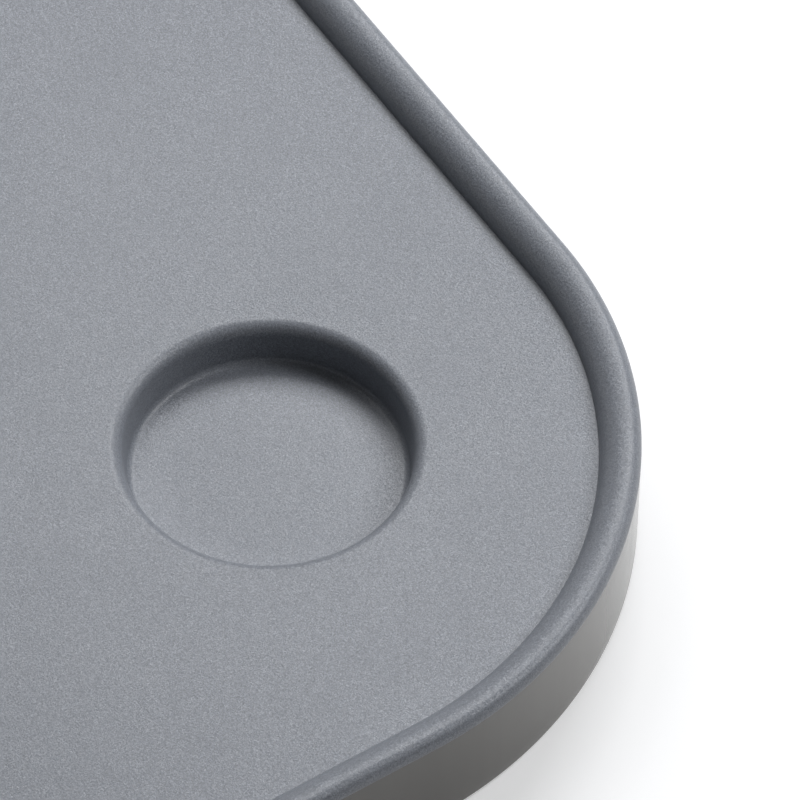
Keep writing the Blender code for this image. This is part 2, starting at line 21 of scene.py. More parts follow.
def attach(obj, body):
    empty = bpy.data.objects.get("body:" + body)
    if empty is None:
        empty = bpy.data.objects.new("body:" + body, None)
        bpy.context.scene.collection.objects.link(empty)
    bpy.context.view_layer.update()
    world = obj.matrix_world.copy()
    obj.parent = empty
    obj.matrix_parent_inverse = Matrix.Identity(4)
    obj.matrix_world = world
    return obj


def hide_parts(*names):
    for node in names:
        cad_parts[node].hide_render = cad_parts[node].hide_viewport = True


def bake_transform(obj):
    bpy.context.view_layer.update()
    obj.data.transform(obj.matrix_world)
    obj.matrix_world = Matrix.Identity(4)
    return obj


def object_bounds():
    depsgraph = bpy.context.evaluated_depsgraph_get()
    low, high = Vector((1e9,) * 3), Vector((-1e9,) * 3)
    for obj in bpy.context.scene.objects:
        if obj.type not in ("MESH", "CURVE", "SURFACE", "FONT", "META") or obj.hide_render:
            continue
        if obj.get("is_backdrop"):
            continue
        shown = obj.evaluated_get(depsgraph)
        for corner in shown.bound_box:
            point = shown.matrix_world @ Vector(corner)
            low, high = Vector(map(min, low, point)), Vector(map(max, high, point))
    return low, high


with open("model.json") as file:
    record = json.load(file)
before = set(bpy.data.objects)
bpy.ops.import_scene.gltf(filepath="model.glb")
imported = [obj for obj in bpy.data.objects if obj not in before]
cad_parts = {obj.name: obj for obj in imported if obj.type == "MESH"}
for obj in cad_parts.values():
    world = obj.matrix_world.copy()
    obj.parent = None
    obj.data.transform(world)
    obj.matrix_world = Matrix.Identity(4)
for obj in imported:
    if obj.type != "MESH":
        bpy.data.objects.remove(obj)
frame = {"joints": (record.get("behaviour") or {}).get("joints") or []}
cad_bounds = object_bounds()
print("CAD box:", [[round(v, 4) for v in corner] for corner in cad_bounds])

# %% [markdown]
# ## Sizes
#
# The sizes are the ones that the CAD model was made from, in metres. Writing them once here lets
# every surface be worked out from the same numbers. What the frame itself can tell, such as where
# a ring's hinge is, is read from it instead.

# %% Sizes of the moulding
TRAY_WIDTH, TRAY_DEPTH = 0.600, 0.480
FAR_CORNER, NEAR_CORNER = 0.115, 0.060
BELLY_DEPTH, BELLY_RADIUS, SHOULDER_RADIUS = 0.110, 0.180, 0.055
FLOOR_Z, FLOOR_THICKNESS = 0.0254, 0.0032
UNDERSIDE_Z = FLOOR_Z - FLOOR_THICKNESS
SKIRT_FOOT_Z, SKIRT_WALL, SKIRT_DRAFT, SKIRT_EDGE = 0.0010, 0.0030, 0.0002, 0.0008
RIM_HEIGHT, BEAD_INNER, BEAD_OUTER, UNDERSIDE_FILLET = 0.0078, 0.0076, 0.0029, 0.0020
CREASE_RADIUS = RIM_HEIGHT - BEAD_INNER
CREST_INSET = SKIRT_DRAFT + BEAD_OUTER
CREST_Z = FLOOR_Z + RIM_HEIGHT
POLISH_TOP_Z, POLISH_STEP = FLOOR_Z + 0.0047, 0.00003
SKIRT_ROWS_Z = (0.022, 0.012, 0.005)
CUP_CENTRE = np.array([0.1953, 0.1430])
CUP_RADIUS, CUP_LIP, CUP_DEPTH, CUP_FOOT = 0.0370, 0.0035, 0.0120, 0.0020
CUP_WALL, CUP_DRAFT = 0.0028, 0.0008
print("floor is", FLOOR_Z * 1000, "mm up and the bead's crown", CREST_Z * 1000)

# %% [markdown]
# ## Meshes from arrays
#
# Every shape here is either a grid of points, where a face joins four neighbours, or a flat area
# inside closed outlines. Both give arrays of points and faces. One function then welds the
# patches of a piece together and turns its faces outwards.

# %% Arrays into meshes
WELD, OUTLINE_MERGE = 2e-6, 1e-9
SHARP_ANGLE = math.radians(38)


def grid_patch(points, wrap_rows=False, wrap_columns=False, **facts):
    """A patch from a grid of points. The face at row i, column j joins the points (i, j),
    (i, j + 1), (i + 1, j + 1) and (i + 1, j), with the last row or column joined to the first
    one where it wraps."""
    rows, columns = points.shape[:2]
    index = np.arange(rows * columns).reshape(rows, columns)
    if wrap_rows:
        index = np.vstack([index, index[:1]])
    if wrap_columns:
        index = np.hstack([index, index[:, :1]])
    corners = (index[:-1, :-1], index[:-1, 1:], index[1:, 1:], index[1:, :-1])
    faces = np.stack([corner.ravel() for corner in corners], axis=1)
    return {"points": points.reshape(-1, 3), "faces": faces, "flat": False, **facts}


def flat_patch(outline, hole, z, **facts):
    """A flat area at height z between two closed outlines, cut into triangles that use only the
    outlines' own points."""
    flat = [Vector(p) for p in (*outline, *hole)]
    loops = [list(range(len(outline))), list(range(len(outline), len(flat)))]
    found = delaunay_2d_cdt(flat, [], loops, 1, OUTLINE_MERGE)
    points = np.array([(p.x, p.y, z) for p in found[0]])
    faces = np.array(found[2])
    middles = points[faces].mean(axis=1)[:, :2]
    keep = inside(middles, outline) & ~inside(middles, hole)
    return {"points": points, "faces": faces[keep], "flat": True, **facts}


def inside(points, outline):
    """Which points lie in a closed outline: those from which a line to the right crosses it an
    odd number of times."""
    a, b = outline, np.roll(outline, -1, axis=0)
    x, y = points[:, None, 0], points[:, None, 1]
    between = (a[:, 1] > y) != (b[:, 1] > y)
    rise = np.where(a[:, 1] == b[:, 1], 1.0, b[:, 1] - a[:, 1])
    crossing = a[:, 0] + (y - a[:, 1]) / rise * (b[:, 0] - a[:, 0])
    return np.sum(between & (x < crossing), axis=1) % 2 == 1


# %% Patches into a piece
def add_object(name, data):
    """A new object that shows a mesh, lamp or camera, put in the scene."""
    made = bpy.data.objects.new(name, data)
    bpy.context.scene.collection.objects.link(made)
    return made


def piece(name, patches, finish, body, stands_for=()):
    """Welds patches into one named mesh, with its faces outwards, and puts it on its body.
    Names in facts other than the patch's own become attributes of the points."""
    points = np.vstack([patch["points"] for patch in patches])
    faces, flat, base = [], [], 0
    for patch in patches:
        faces += (patch["faces"] + base).tolist()
        flat += [patch["flat"]] * len(patch["faces"])
        base += len(patch["points"])
    mesh = bpy.data.meshes.new(name)
    mesh.from_pydata(points, [], faces)
    mesh.polygons.foreach_set("use_smooth", [not f for f in flat])
    extra = sorted({key for patch in patches for key in patch} - {"points", "faces", "flat"})
    for key in extra:
        values = [np.broadcast_to(p.get(key, 0.0), len(p["points"])) for p in patches]
        layer = mesh.attributes.new(key, "FLOAT", "POINT")
        layer.data.foreach_set("value", np.concatenate(values).astype(np.float32))
    bm = bmesh.new()
    bm.from_mesh(mesh)
    bmesh.ops.remove_doubles(bm, verts=bm.verts, dist=WELD)
    bmesh.ops.recalc_face_normals(bm, faces=bm.faces)
    bm.to_mesh(mesh)
    bm.free()
    mesh.set_sharp_from_angle(angle=SHARP_ANGLE)
    mesh.materials.append(finish)
    made = add_object(name, mesh)
    if stands_for:
        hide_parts(*stands_for)
    if body:
        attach(made, body)
    return made


# %% [markdown]
# ## Shader maths as Python
#
# A material's numbers come from nodes, and a tree of Math nodes is hard to read. This class holds
# one output socket. Python's operators on it add the Math nodes, so a formula in a material reads
# as it would on paper.

# %% A class for sockets
class Value:
    """An output socket of a material. +, -, * and / on it add Math nodes."""

    def __init__(self, tree, socket):
        self.tree = tree
        self.socket = socket

    def node(self, kind, settings=None, sockets=None, out=0):
        """Adds any node: its type, its settings, then the values or links of its sockets."""
        return add_node(self.tree, kind, settings, sockets, out)

    def math(self, operation, *others, kind="ShaderNodeMath"):
        sockets = dict(enumerate((self, *others)))
        return self.node(kind, {"operation": operation}, sockets)

    def vector(self, operation, *others):
        return self.math(operation, *others, kind="ShaderNodeVectorMath")

    def __add__(self, other):
        return self.math("ADD", other)

    def __mul__(self, other):
        return self.math("MULTIPLY", other)

    def __sub__(self, other):
        return self.math("SUBTRACT", other)

    def __rsub__(self, other):
        return (self * -1.0) + other

    def __truediv__(self, other):
        return self.math("DIVIDE", other)

    __radd__ = __add__
    __rmul__ = __mul__

    def between(self, low, high):
        """0 below low and 1 above high, with a smooth rise between them."""
        settings = {"interpolation_type": "SMOOTHSTEP"}
        return self.node("ShaderNodeMapRange", settings, {0: self, 1: low, 2: high})


def add_node(tree, kind, settings=None, sockets=None, out=0):
    made = tree.nodes.new(kind)
    for name, setting in (settings or {}).items():
        setattr(made, name, setting)
    for name, value in (sockets or {}).items():
        if isinstance(value, Value):
            tree.links.new(value.socket, made.inputs[name])
        else:
            made.inputs[name].default_value = value
    return Value(tree, made.outputs[out])


# %% Helpers for materials
def new_material(name, **uniform):
    """A material with its Principled node. Uniform values go straight on the node's sockets."""
    made = bpy.data.materials.new(name)
    made.use_nodes = True
    shader = made.node_tree.nodes["Principled BSDF"]
    for socket, value in uniform.items():
        label = socket.replace("_", " ").title().replace("Ior", "IOR")
        shader.inputs[label].default_value = value
    return made, made.node_tree, shader


def feed(shader, socket, value):
    value.tree.links.new(value.socket, shader.inputs[socket])


def bump(height, distance):
    """The normal of a surface raised by height times distance metres."""
    sockets = {"Height": height, "Distance": distance, "Strength": 1.0}
    return height.node("ShaderNodeBump", None, sockets)


def mix_colour(amount, first, second):
    """first where amount is 0 and second where it is 1, each a colour of three numbers."""
    settings = {"data_type": "RGBA"}
    first, second = (c if isinstance(c, Value) else (*c, 1.0) for c in (first, second))
    return amount.node("ShaderNodeMix", settings, {0: amount, 6: first, 7: second}, 2)


def noise(place, scale, detail=2.0, roughness=0.5, stretch=None):
    """A noise value from 0 to 1, with about one cell in 1 / scale metres."""
    if stretch:
        place = place.node("ShaderNodeMapping", None, {"Vector": place, "Scale": stretch})
    sockets = {"Vector": place, "Scale": scale, "Detail": detail, "Roughness": roughness}
    return place.node("ShaderNodeTexNoise", None, sockets)


def object_place(tree):
    return add_node(tree, "ShaderNodeTexCoord", out=3)


def attribute(place, name):
    return place.node("ShaderNodeAttribute", {"attribute_name": name}, out=2)


def finish_from(name, recipe, **uniform):
    """A material whose recipe works out, from the place on the piece, the colour, and then the
    roughness and the normal where they vary too."""
    made, tree, shader = new_material(name, **uniform)
    for socket, value in zip(("Base Color", "Roughness", "Normal"), recipe(object_place(tree))):
        if value:
            feed(shader, socket, value)
    print("made the finish", name)
    return made

# %% [markdown]
# ## The grey moulding's finish
#
# The real tray is moulded in grey ABS. Its top has a fine spark-eroded grain that glitters: each
# facet, a quarter of a millimetre across, leans its own way, and some are painted paler: a
# painted glint that stands in for the sparkle of light on the grain. The skirt below the bead
# comes from a polished part of the mould and shines, with faint upright streaks from the
# polishing. Underneath, the plastic is smooth and dull.
#
# One material does all three. Two numbers stored on the points, grain and polish, say which part
# of the mould a place came from, and the border between them can then be as crisp as the real
# one. The facets are cells of a Voronoi pattern in metres, so they're the same size everywhere.

# %% Grey moulded plastic
GREY_DARK, GREY_LIGHT = (0.184, 0.194, 0.215), (0.217, 0.229, 0.252)
# A painted glint colour: facets given it look paler, as if they caught the light.
GREY_PAINTED_GLINT = (0.29, 0.31, 0.35)
POLISHED_DARK, POLISHED_LIGHT = (0.162, 0.155, 0.141), (0.170, 0.163, 0.149)
GRAIN_CELLS, GRAIN_HEIGHT = 1500.0, 0.00007
FACET_CELLS, FACET_LEAN = 4400.0, 0.24


def moulded_plastic(place):
    grain, polish = attribute(place, "grain"), attribute(place, "polish")
    fine = noise(place, GRAIN_CELLS, 2.0, 0.55)
    cells = {"Vector": place, "Scale": FACET_CELLS}
    facets = place.node("ShaderNodeTexVoronoi", {"feature": "F1"}, cells, 1)
    pale = facets.node("ShaderNodeSeparateXYZ", None, {"Vector": facets}).between(0.3, 1.0)
    broad = noise(place, 9.0, 3.0, 0.6)
    tone = broad * 0.35 + fine.between(0.3, 0.7) * 0.65
    grey = mix_colour(tone, GREY_DARK, GREY_LIGHT)
    # Paler facets on the grain are painted glints, a light colour standing in for sparkle.
    grey = mix_colour(pale * grain, grey, GREY_PAINTED_GLINT)
    streak = noise(place, 110.0, 3.0, 0.6, stretch=(1.0, 1.0, 0.06)).between(0.3, 0.7)
    polished = mix_colour(streak, POLISHED_DARK, POLISHED_LIGHT)
    smudge = noise(place, 35.0, 4.0, 0.6).between(0.35, 0.75)
    matt = grain * -0.03 + 0.34 + smudge * 0.03 + fine * grain * 0.06
    shiny = streak * 0.04 + smudge * 0.04 + 0.12
    roughness = matt * (1 - polish) + shiny * polish
    orange_peel = noise(place, 160.0, 1.0, 0.4) * (1 - grain) * 0.06
    raised = bump(fine * grain + orange_peel, GRAIN_HEIGHT)
    lean = facets.vector("SUBTRACT", (0.5, 0.5, 0.5)).vector("MULTIPLY", grain * FACET_LEAN)
    normal = raised.vector("ADD", lean).vector("NORMALIZE")
    return mix_colour(polish, grey, polished), roughness, normal


MOULDED = finish_from("grained_grey_abs", moulded_plastic, ior=1.5)

# %% [markdown]
# ## The tray's outline
#
# Seen from above, the tray is a rectangle with four rounded corners and a round bite for the
# body, which meets the near edge in two soft shoulders. All of it is straight lines and arcs, and
# each arc touches its neighbours. So the same outline further in is the same arcs with other
# radii, and it never has to be offset by searching.

# %% Outline from arcs
BELLY_Y = BELLY_DEPTH - TRAY_DEPTH / 2 - BELLY_RADIUS
SHOULDER_Y = SHOULDER_RADIUS - TRAY_DEPTH / 2
SHOULDER_X = math.sqrt((BELLY_RADIUS + SHOULDER_RADIUS) ** 2 - (SHOULDER_Y - BELLY_Y) ** 2)
BELLY_TURN = math.degrees(math.atan2(SHOULDER_X, SHOULDER_Y - BELLY_Y))
NEAR_CENTRE = (TRAY_WIDTH / 2 - NEAR_CORNER, NEAR_CORNER - TRAY_DEPTH / 2)
FAR_CENTRE = (TRAY_WIDTH / 2 - FAR_CORNER, TRAY_DEPTH / 2 - FAR_CORNER)
# Each arc of the right half: centre, radius, how it changes as the outline moves in, start and
# end in degrees, and how many points it gets.
RIGHT_ARCS = (
    ((0.0, BELLY_Y), BELLY_RADIUS, 1, 90, 90 - BELLY_TURN, 48),
    ((SHOULDER_X, SHOULDER_Y), SHOULDER_RADIUS, -1, 270 - BELLY_TURN, 270, 34),
    (NEAR_CENTRE, NEAR_CORNER, -1, -90, 0, 48),
    (FAR_CENTRE, FAR_CORNER, -1, 0, 90, 96),
)


def arc(centre, radius, start, end, count):
    """Points at centre plus radius times (cosine, sine) of evenly spaced angles in degrees. The
    radius may be an array, which gives one row of points for each of its values."""
    angle = np.radians(np.linspace(start, end, count))
    around = np.stack([np.cos(angle), np.sin(angle)], axis=-1)
    return np.asarray(centre) + np.asarray(radius)[..., None, None] * around


def stacked(x, y, z):
    """Points from arrays of their three coordinates, which are first stretched to one shape."""
    return np.stack(np.broadcast_arrays(x, y, z), axis=-1)


def at_height(outlines, heights):
    """Outlines of (x, y), one a row, each at its own height."""
    return stacked(outlines[..., 0], outlines[..., 1], np.asarray(heights)[:, None])


def tray_outline(inset):
    """Closed outlines of the tray, one for each inset from the skirt's foot: the right half's
    arcs, then the same points with x turned round, from last to first."""
    inset = np.atleast_1d(np.asarray(inset, float))
    right = [
        arc(centre, radius + grows * inset, start, end, count)[:, skip:]
        for (centre, radius, grows, start, end, count), skip in zip(RIGHT_ARCS, (0, 1, 0, 0))
    ]
    right = np.concatenate(right, axis=1)
    left = right[:, :0:-1] * (-1.0, 1.0)
    return np.concatenate([right, left], axis=1)


print("points round the tray:", tray_outline(0.0).shape[1])

# %% [markdown]
# ## The moulding
#
# The rim could be a curve with a bevel, but its section changes sides: fillet, bead, polished
# skirt and hollow inside. A profile carried along the outline does it in one go. Each point of
# the profile is an inset and a height, and each gives one ring of the tray.
#
# Two rows of points stand very close together where the grain ends, which makes that border
# crisp. The recess is a profile turned about its centre. The floor and its underside are flat
# areas that share the outlines' points, so the whole moulding closes.

# %% The rim's section
def rim_section():
    """Rows of (inset, height) from the floor to its underside, and the grain and polish of each
    row: the grain runs over the bead to the polished skirt, and the inside has neither."""
    crease = (CREST_INSET + BEAD_INNER + CREASE_RADIUS, FLOOR_Z + CREASE_RADIUS)
    outer_z = CREST_Z - BEAD_OUTER
    top = np.vstack([
        arc(crease, CREASE_RADIUS, 270, 180, 6)[:-1],
        arc((CREST_INSET, CREST_Z - BEAD_INNER), BEAD_INNER, 0, 90, 40),
        arc((CREST_INSET, outer_z), BEAD_OUTER, 90, 180, 24)[1:],
    ])
    slope = SKIRT_DRAFT / (outer_z - SKIRT_FOOT_Z - SKIRT_EDGE)
    levels = np.array([POLISH_TOP_Z, POLISH_TOP_Z - POLISH_STEP, *SKIRT_ROWS_Z])
    skirt = np.stack([SKIRT_DRAFT - (outer_z - levels) * slope, levels], axis=1)
    foot_z = SKIRT_FOOT_Z + SKIRT_EDGE
    under = (SKIRT_WALL + SKIRT_DRAFT + UNDERSIDE_FILLET, UNDERSIDE_Z - UNDERSIDE_FILLET)
    edge = np.vstack([
        arc((SKIRT_EDGE, foot_z), SKIRT_EDGE, 180, 270, 7),
        arc((SKIRT_WALL - SKIRT_EDGE, foot_z), SKIRT_EDGE, 270, 360, 7),
    ])
    inner = arc(under, UNDERSIDE_FILLET, 180, 90, 8)
    rows = np.vstack([top, skirt, edge, inner])
    row, last = np.arange(len(rows)), len(top)
    return rows, row <= last, (row > last) & (row < last + len(skirt) + len(edge) / 2)


SECTION, SECTION_GRAIN, SECTION_POLISH = rim_section()


def rim_patch():
    """The profile carried along the outline: row i is the outline at inset i and height i."""
    rings = at_height(tray_outline(SECTION[:, 0]), SECTION[:, 1])
    grain, polish = (np.repeat(v, rings.shape[1]) for v in (SECTION_GRAIN, SECTION_POLISH))
    return grid_patch(rings, wrap_columns=True, grain=grain, polish=polish)


# %% Turned shapes
def ring_outline(centre, radius, count):
    return arc(centre, radius, 0, 360 - 360 / count, count)


def turned_patch(centre, profile, count, **facts):
    """A profile of (radius, height) turned about a vertical axis: the point at angle a is the
    centre plus radius times (cos a, sin a), at the same height."""
    profile = np.asarray(profile, float)
    flat = ring_outline(centre, profile[:, 0], count)
    return grid_patch(at_height(flat, profile[:, 1]), wrap_columns=True, **facts)


# %% The recess and the flat floor
RECESS_POINTS, DRUM_POINTS = 192, 96
RECESS_RINGS, DRUM_RINGS = (0.024, 0.012, 0.0), (0.018, 0.0)
FOOT_Z = FLOOR_Z - CUP_DEPTH


def recess_profile(radius, top_z, foot_z, lip_points, rings):
    """From a flat area over the lip's quarter circle, down the wall and round the foot, then
    over rings of the foot to the middle."""
    lip = (radius + CUP_LIP, top_z - CUP_LIP)
    toe = (radius - CUP_DRAFT - CUP_FOOT, foot_z + CUP_FOOT)
    return np.vstack([
        arc(lip, CUP_LIP, 90, 180, lip_points),
        arc(toe, CUP_FOOT, 0, -90, 8),
        [[ring, foot_z] for ring in rings],
    ])


def area_round_recess(inset, radius, count, z, **facts):
    """The tray's flat area at an inset from the skirt's foot, less a round hole."""
    hole = ring_outline(CUP_CENTRE, radius, count)
    return flat_patch(tray_outline(inset)[0], hole, z, **facts)


recess = recess_profile(CUP_RADIUS, FLOOR_Z, FOOT_Z, 12, RECESS_RINGS)
drum = recess_profile(CUP_RADIUS + CUP_WALL, UNDERSIDE_Z, FOOT_Z - CUP_WALL, 8, DRUM_RINGS)
surfaces = [
    rim_patch(),
    area_round_recess(SECTION[0, 0], recess[0, 0], RECESS_POINTS, FLOOR_Z, grain=1.0),
    turned_patch(CUP_CENTRE, recess, RECESS_POINTS, grain=1.0),
    turned_patch(CUP_CENTRE, drum, DRUM_POINTS),
    area_round_recess(SECTION[-1, 0], drum[0, 0], DRUM_POINTS, UNDERSIDE_Z),
]
moulding = piece("tray_moulding", surfaces, MOULDED, "tray", ["tray_shell"])
print(moulding.name, len(moulding.data.polygons), "faces")

# %% [markdown]
# ## Bars, slabs and swept strips
#
# The parts under the tray are of three sorts: a section carried along a path, a slab with
# rounded edges, and a turned shape. Each helper below closes its shape. A part that is moulded
# onto another, such as a rib, ends a little inside it.

# %% Swept sections
def cap_patch(ring, **facts):
    """One face over a ring of points."""
    return {"points": ring, "faces": np.arange(len(ring))[None, :], "flat": True, **facts}


def swept_patches(rings):
    """A closed solid through rings of points, one ring a row, with a face over each end."""
    return [grid_patch(rings, wrap_columns=True), cap_patch(rings[0]), cap_patch(rings[-1])]


QUARTERS = ((1, 1), (-1, 1), (-1, -1), (1, -1))


def rounded_rectangle(width, length, radius, count=8):
    """Outlines of a rectangle with rounded corners about the origin. The three sizes may be
    arrays, which give one outline for each of their values."""
    sizes = (np.atleast_1d(size) for size in (width, length, radius))
    width, length, radius = np.broadcast_arrays(*sizes)
    sides = []
    for i, (sx, sy) in enumerate(QUARTERS):
        middle = np.stack([sx * (width / 2 - radius), sy * (length / 2 - radius)], axis=-1)
        corner = arc((0, 0), radius, 90 * i, 90 * i + 90, count)
        sides.append(middle[:, None, :] + corner)
    return np.concatenate(sides, axis=1)


def slab_patches(width, length, corner, low, high, edge, centre):
    """A slab with rounded corners, whose edges above and below are rounded by the size edge:
    each row is the same outline, further in the nearer it is to a face."""
    turn = np.radians(np.linspace(-90, 0, 5))
    inset = edge * (1 - np.cos(turn))
    level = edge * np.sin(turn)
    inset = np.concatenate([inset, inset[::-1]])
    level = np.concatenate([low + edge + level, high - edge - level[::-1]])
    outlines = rounded_rectangle(width - 2 * inset, length - 2 * inset, corner - inset)
    return swept_patches(at_height(outlines + np.asarray(centre), level))


# %% Cutting with a solid
def cut(target, patches):
    """Cuts closed shapes out of a piece with an exact Boolean, and keeps the plain mesh."""
    tool = piece("cutter", patches, target.data.materials[0], None)
    modifier = target.modifiers.new("cut", "BOOLEAN")
    modifier.operation, modifier.solver, modifier.object = "DIFFERENCE", "EXACT", tool
    bpy.context.view_layer.update()
    graph = bpy.context.evaluated_depsgraph_get()
    result = bpy.data.meshes.new_from_object(target.evaluated_get(graph))
    target.modifiers.clear()
    result.name = target.data.name
    target.data = result
    bpy.data.objects.remove(tool)
    result.set_sharp_from_angle(angle=SHARP_ANGLE)


# %% [markdown]
# ## Ribs, bosses and frames
#
# The floor of the real tray is 3 mm thick, and would bend without ribs. Screws need bosses to
# bite in, and each rubber rest sits in a low frame. All of these are part of the same moulding,
# and a toolmaker gives them a slight draft, a small fillet at the root and a softened foot.
# They are made as shells that reach into the floor.

# %% Ribs
RIB_THICKNESS, RIB_DRAFT, RIB_FILLET, RIB_FOOT_EDGE = 0.0022, 0.00025, 0.0008, 0.0005
LONG_RIB_X = (-0.090, 0.0, 0.090)
LONG_RIB_FOOT, CROSS_RIB_FOOT = UNDERSIDE_Z - 0.0060, UNDERSIDE_Z - 0.0056
CROSS_RIB_Y = (-0.080, 0.060, 0.190)
ROOTED = 0.0006


def rib_section(thickness, foot):
    """A rib's section as (offset, height). One half runs from its root in the floor to its
    foot: a fillet, a drafted side and a rounded edge. The other half is its mirror."""
    half = thickness / 2
    root = half + RIB_DRAFT
    fillet = arc((root + RIB_FILLET, UNDERSIDE_Z - RIB_FILLET), RIB_FILLET, 90, 180, 5)
    edge = arc((half - RIB_FOOT_EDGE, foot + RIB_FOOT_EDGE), RIB_FOOT_EDGE, 0, -90, 5)
    side = np.vstack([[[fillet[0, 0], UNDERSIDE_Z + ROOTED]], fillet, edge])
    return np.vstack([side, side[::-1] * (-1.0, 1.0)])


def straight_rib(start, end, foot, thickness=RIB_THICKNESS):
    """The rib's section at both ends of a straight line seen from above."""
    start, end = np.asarray(start, float), np.asarray(end, float)
    along = (end - start) / np.linalg.norm(end - start)
    across = np.array([along[1], -along[0]])
    section = rib_section(thickness, foot)
    rings = [
        np.column_stack([spot + section[:, :1] * across, section[:, 1]]) for spot in (start, end)
    ]
    return swept_patches(np.array(rings))


# Each rib ends halfway into the skirt's wall, whose inner side is an arc about the centre of the
# body cut-out or of a far corner.
INTO_WALL = SKIRT_WALL / 2
ribs = []
for x in LONG_RIB_X:
    near = BELLY_Y + math.sqrt((BELLY_RADIUS + SKIRT_WALL) ** 2 - x * x) - INTO_WALL
    ribs += straight_rib((x, near), (x, TRAY_DEPTH / 2 - INTO_WALL), LONG_RIB_FOOT)
for y in CROSS_RIB_Y:
    past = max(0.0, y - FAR_CENTRE[1])
    inner = FAR_CENTRE[0] + math.sqrt((FAR_CORNER - SKIRT_WALL) ** 2 - past**2)
    ribs += straight_rib((-inner - INTO_WALL, y), (inner + INTO_WALL, y), CROSS_RIB_FOOT)
floor_ribs = piece("floor_ribs", ribs, MOULDED, "tray")
print(floor_ribs.name, len(floor_ribs.data.polygons), "faces")

# %% Places of the straps, read from the frame's joints
STRAPS = [
    {
        "tag": joint["child"].removeprefix("ring_"),
        "body": joint["child"],
        "hinge": joint["pos_m"],
        "side": math.copysign(1.0, joint["pos_m"][0]),
    }
    for joint in frame["joints"]
]
HINGE_REACH = abs(STRAPS[0]["hinge"][0])
ANCHOR_REACH, ANCHOR_SPACING = 0.136, 0.024
BRACKET_REACH, BRACKET_SPACING = 0.0087, 0.017
ANCHOR_SEAT_Z, BRACKET_SEAT_Z = 0.0078, 0.0101
BOSS_RADIUS, BOSS_FOOT_Z, BOSS_HOLE, SCREW_SHANK = 0.0050, 0.0122, 0.0021, 0.0105
BOSS_EDGE, BOSS_FILLET, BOSS_DRAFT = 0.0004, 0.0010, 0.0002
# The end of a blind hole: shares of its radius, and how far each is below its tip.
HOLE_END = ((0.0, 0.0), (0.7, 0.0003), (1.0, 0.0012))
WEB_THICKNESS, WEB_FOOT_Z, WEB_ROOT = 0.0024, 0.0132, 0.0010
GAP, DRILLED = 0.0003, 0.006
print("straps at", [strap["tag"] for strap in STRAPS])


def screw_pairs(strap):
    """The two pairs of screws of one strap: kind, x, distance apart and height of the seat."""
    yield "anchor", strap["side"] * ANCHOR_REACH, ANCHOR_SPACING, ANCHOR_SEAT_Z
    bracket_x = strap["hinge"][0] + strap["side"] * BRACKET_REACH
    yield "bracket", bracket_x, BRACKET_SPACING, BRACKET_SEAT_Z


def screw_spots(strap):
    """The screws of one strap: name, place seen from above and height of the head's seat."""
    for i, end in enumerate((-0.5, 0.5)):
        for kind, x, apart, seat in screw_pairs(strap):
            spot = (x, strap["hinge"][1] + end * apart)
            yield f"{kind}_screw_{strap['tag']}_{i + 1}", spot, seat


def drill(target, strap, kind, low, high):
    """Cuts the round holes of one strap's anchor or bracket screws, along Z."""
    profile = [(0, low), (BOSS_HOLE, low), (BOSS_HOLE, high), (0, high)]
    spots = [spot for name, spot, seat in screw_spots(strap) if name.startswith(kind)]
    cut(target, [turned_patch(spot, profile, 32) for spot in spots])


# %% Screw bosses
def boss_profile(radius, hole, foot, hole_top):
    """Up the middle of the blind hole, down its wall, round the foot and up the drafted side to
    a fillet in the floor."""
    root = radius + BOSS_DRAFT
    foot_arc = (radius - BOSS_EDGE, foot + BOSS_EDGE)
    root_arc = (root + BOSS_FILLET, UNDERSIDE_Z - BOSS_FILLET)
    return np.vstack([
        [[hole * share, hole_top - drop] for share, drop in HOLE_END],
        [[hole, foot + BOSS_EDGE]],
        arc(foot_arc, BOSS_EDGE, -90, 0, 5),
        arc(root_arc, BOSS_FILLET, 180, 90, 6),
        [[root_arc[0], UNDERSIDE_Z + ROOTED], [0, UNDERSIDE_Z + ROOTED]],
    ])


BOSS_POINTS = 40
bosses = []
for strap in STRAPS:
    for name, spot, seat in screw_spots(strap):
        profile = boss_profile(BOSS_RADIUS, BOSS_HOLE, BOSS_FOOT_Z, seat + SCREW_SHANK + GAP)
        bosses.append(turned_patch(spot, profile, BOSS_POINTS))
    for kind, x, apart, seat in screw_pairs(strap):
        y, half = strap["hinge"][1], apart / 2 - BOSS_RADIUS + WEB_ROOT
        bosses += straight_rib((x, y - half), (x, y + half), WEB_FOOT_Z, WEB_THICKNESS)
strap_bosses = piece("strap_bosses", bosses, MOULDED, "tray")

# %% Frames that hold the rubber rests
REST_X, REST_Y = 0.250, (-0.190, -0.080, 0.050)
REST_WIDTH, REST_LENGTH, REST_THICKNESS, REST_CORNER = 0.046, 0.058, 0.0027, 0.006
REST_MARGIN, FRAME_WALL, FRAME_FOOT_Z = 0.003, 0.0022, 0.0030
STEM_RADIUS, STEM_TOP_Z, STEM_BOSS, STEM_EDGE = 0.0030, 0.0130, 0.0057, 0.0008
FRAME_EDGE = 0.0004


def frame_patches(centre):
    """A low wall round a rounded rectangle. Its rows run from the root outside, down to the
    foot, and up again inside."""
    width, length = REST_WIDTH - 2 * REST_MARGIN, REST_LENGTH - 2 * REST_MARGIN
    side = rib_section(FRAME_WALL, FRAME_FOOT_Z)
    inset = np.maximum(FRAME_WALL / 2 - side[:, 0], -REST_CORNER)
    radius = np.maximum(REST_CORNER - inset, FRAME_EDGE)
    outlines = rounded_rectangle(width - 2 * inset, length - 2 * inset, radius)
    rings = at_height(outlines + np.asarray(centre), side[:, 1])
    return [grid_patch(rings, wrap_rows=True, wrap_columns=True)]


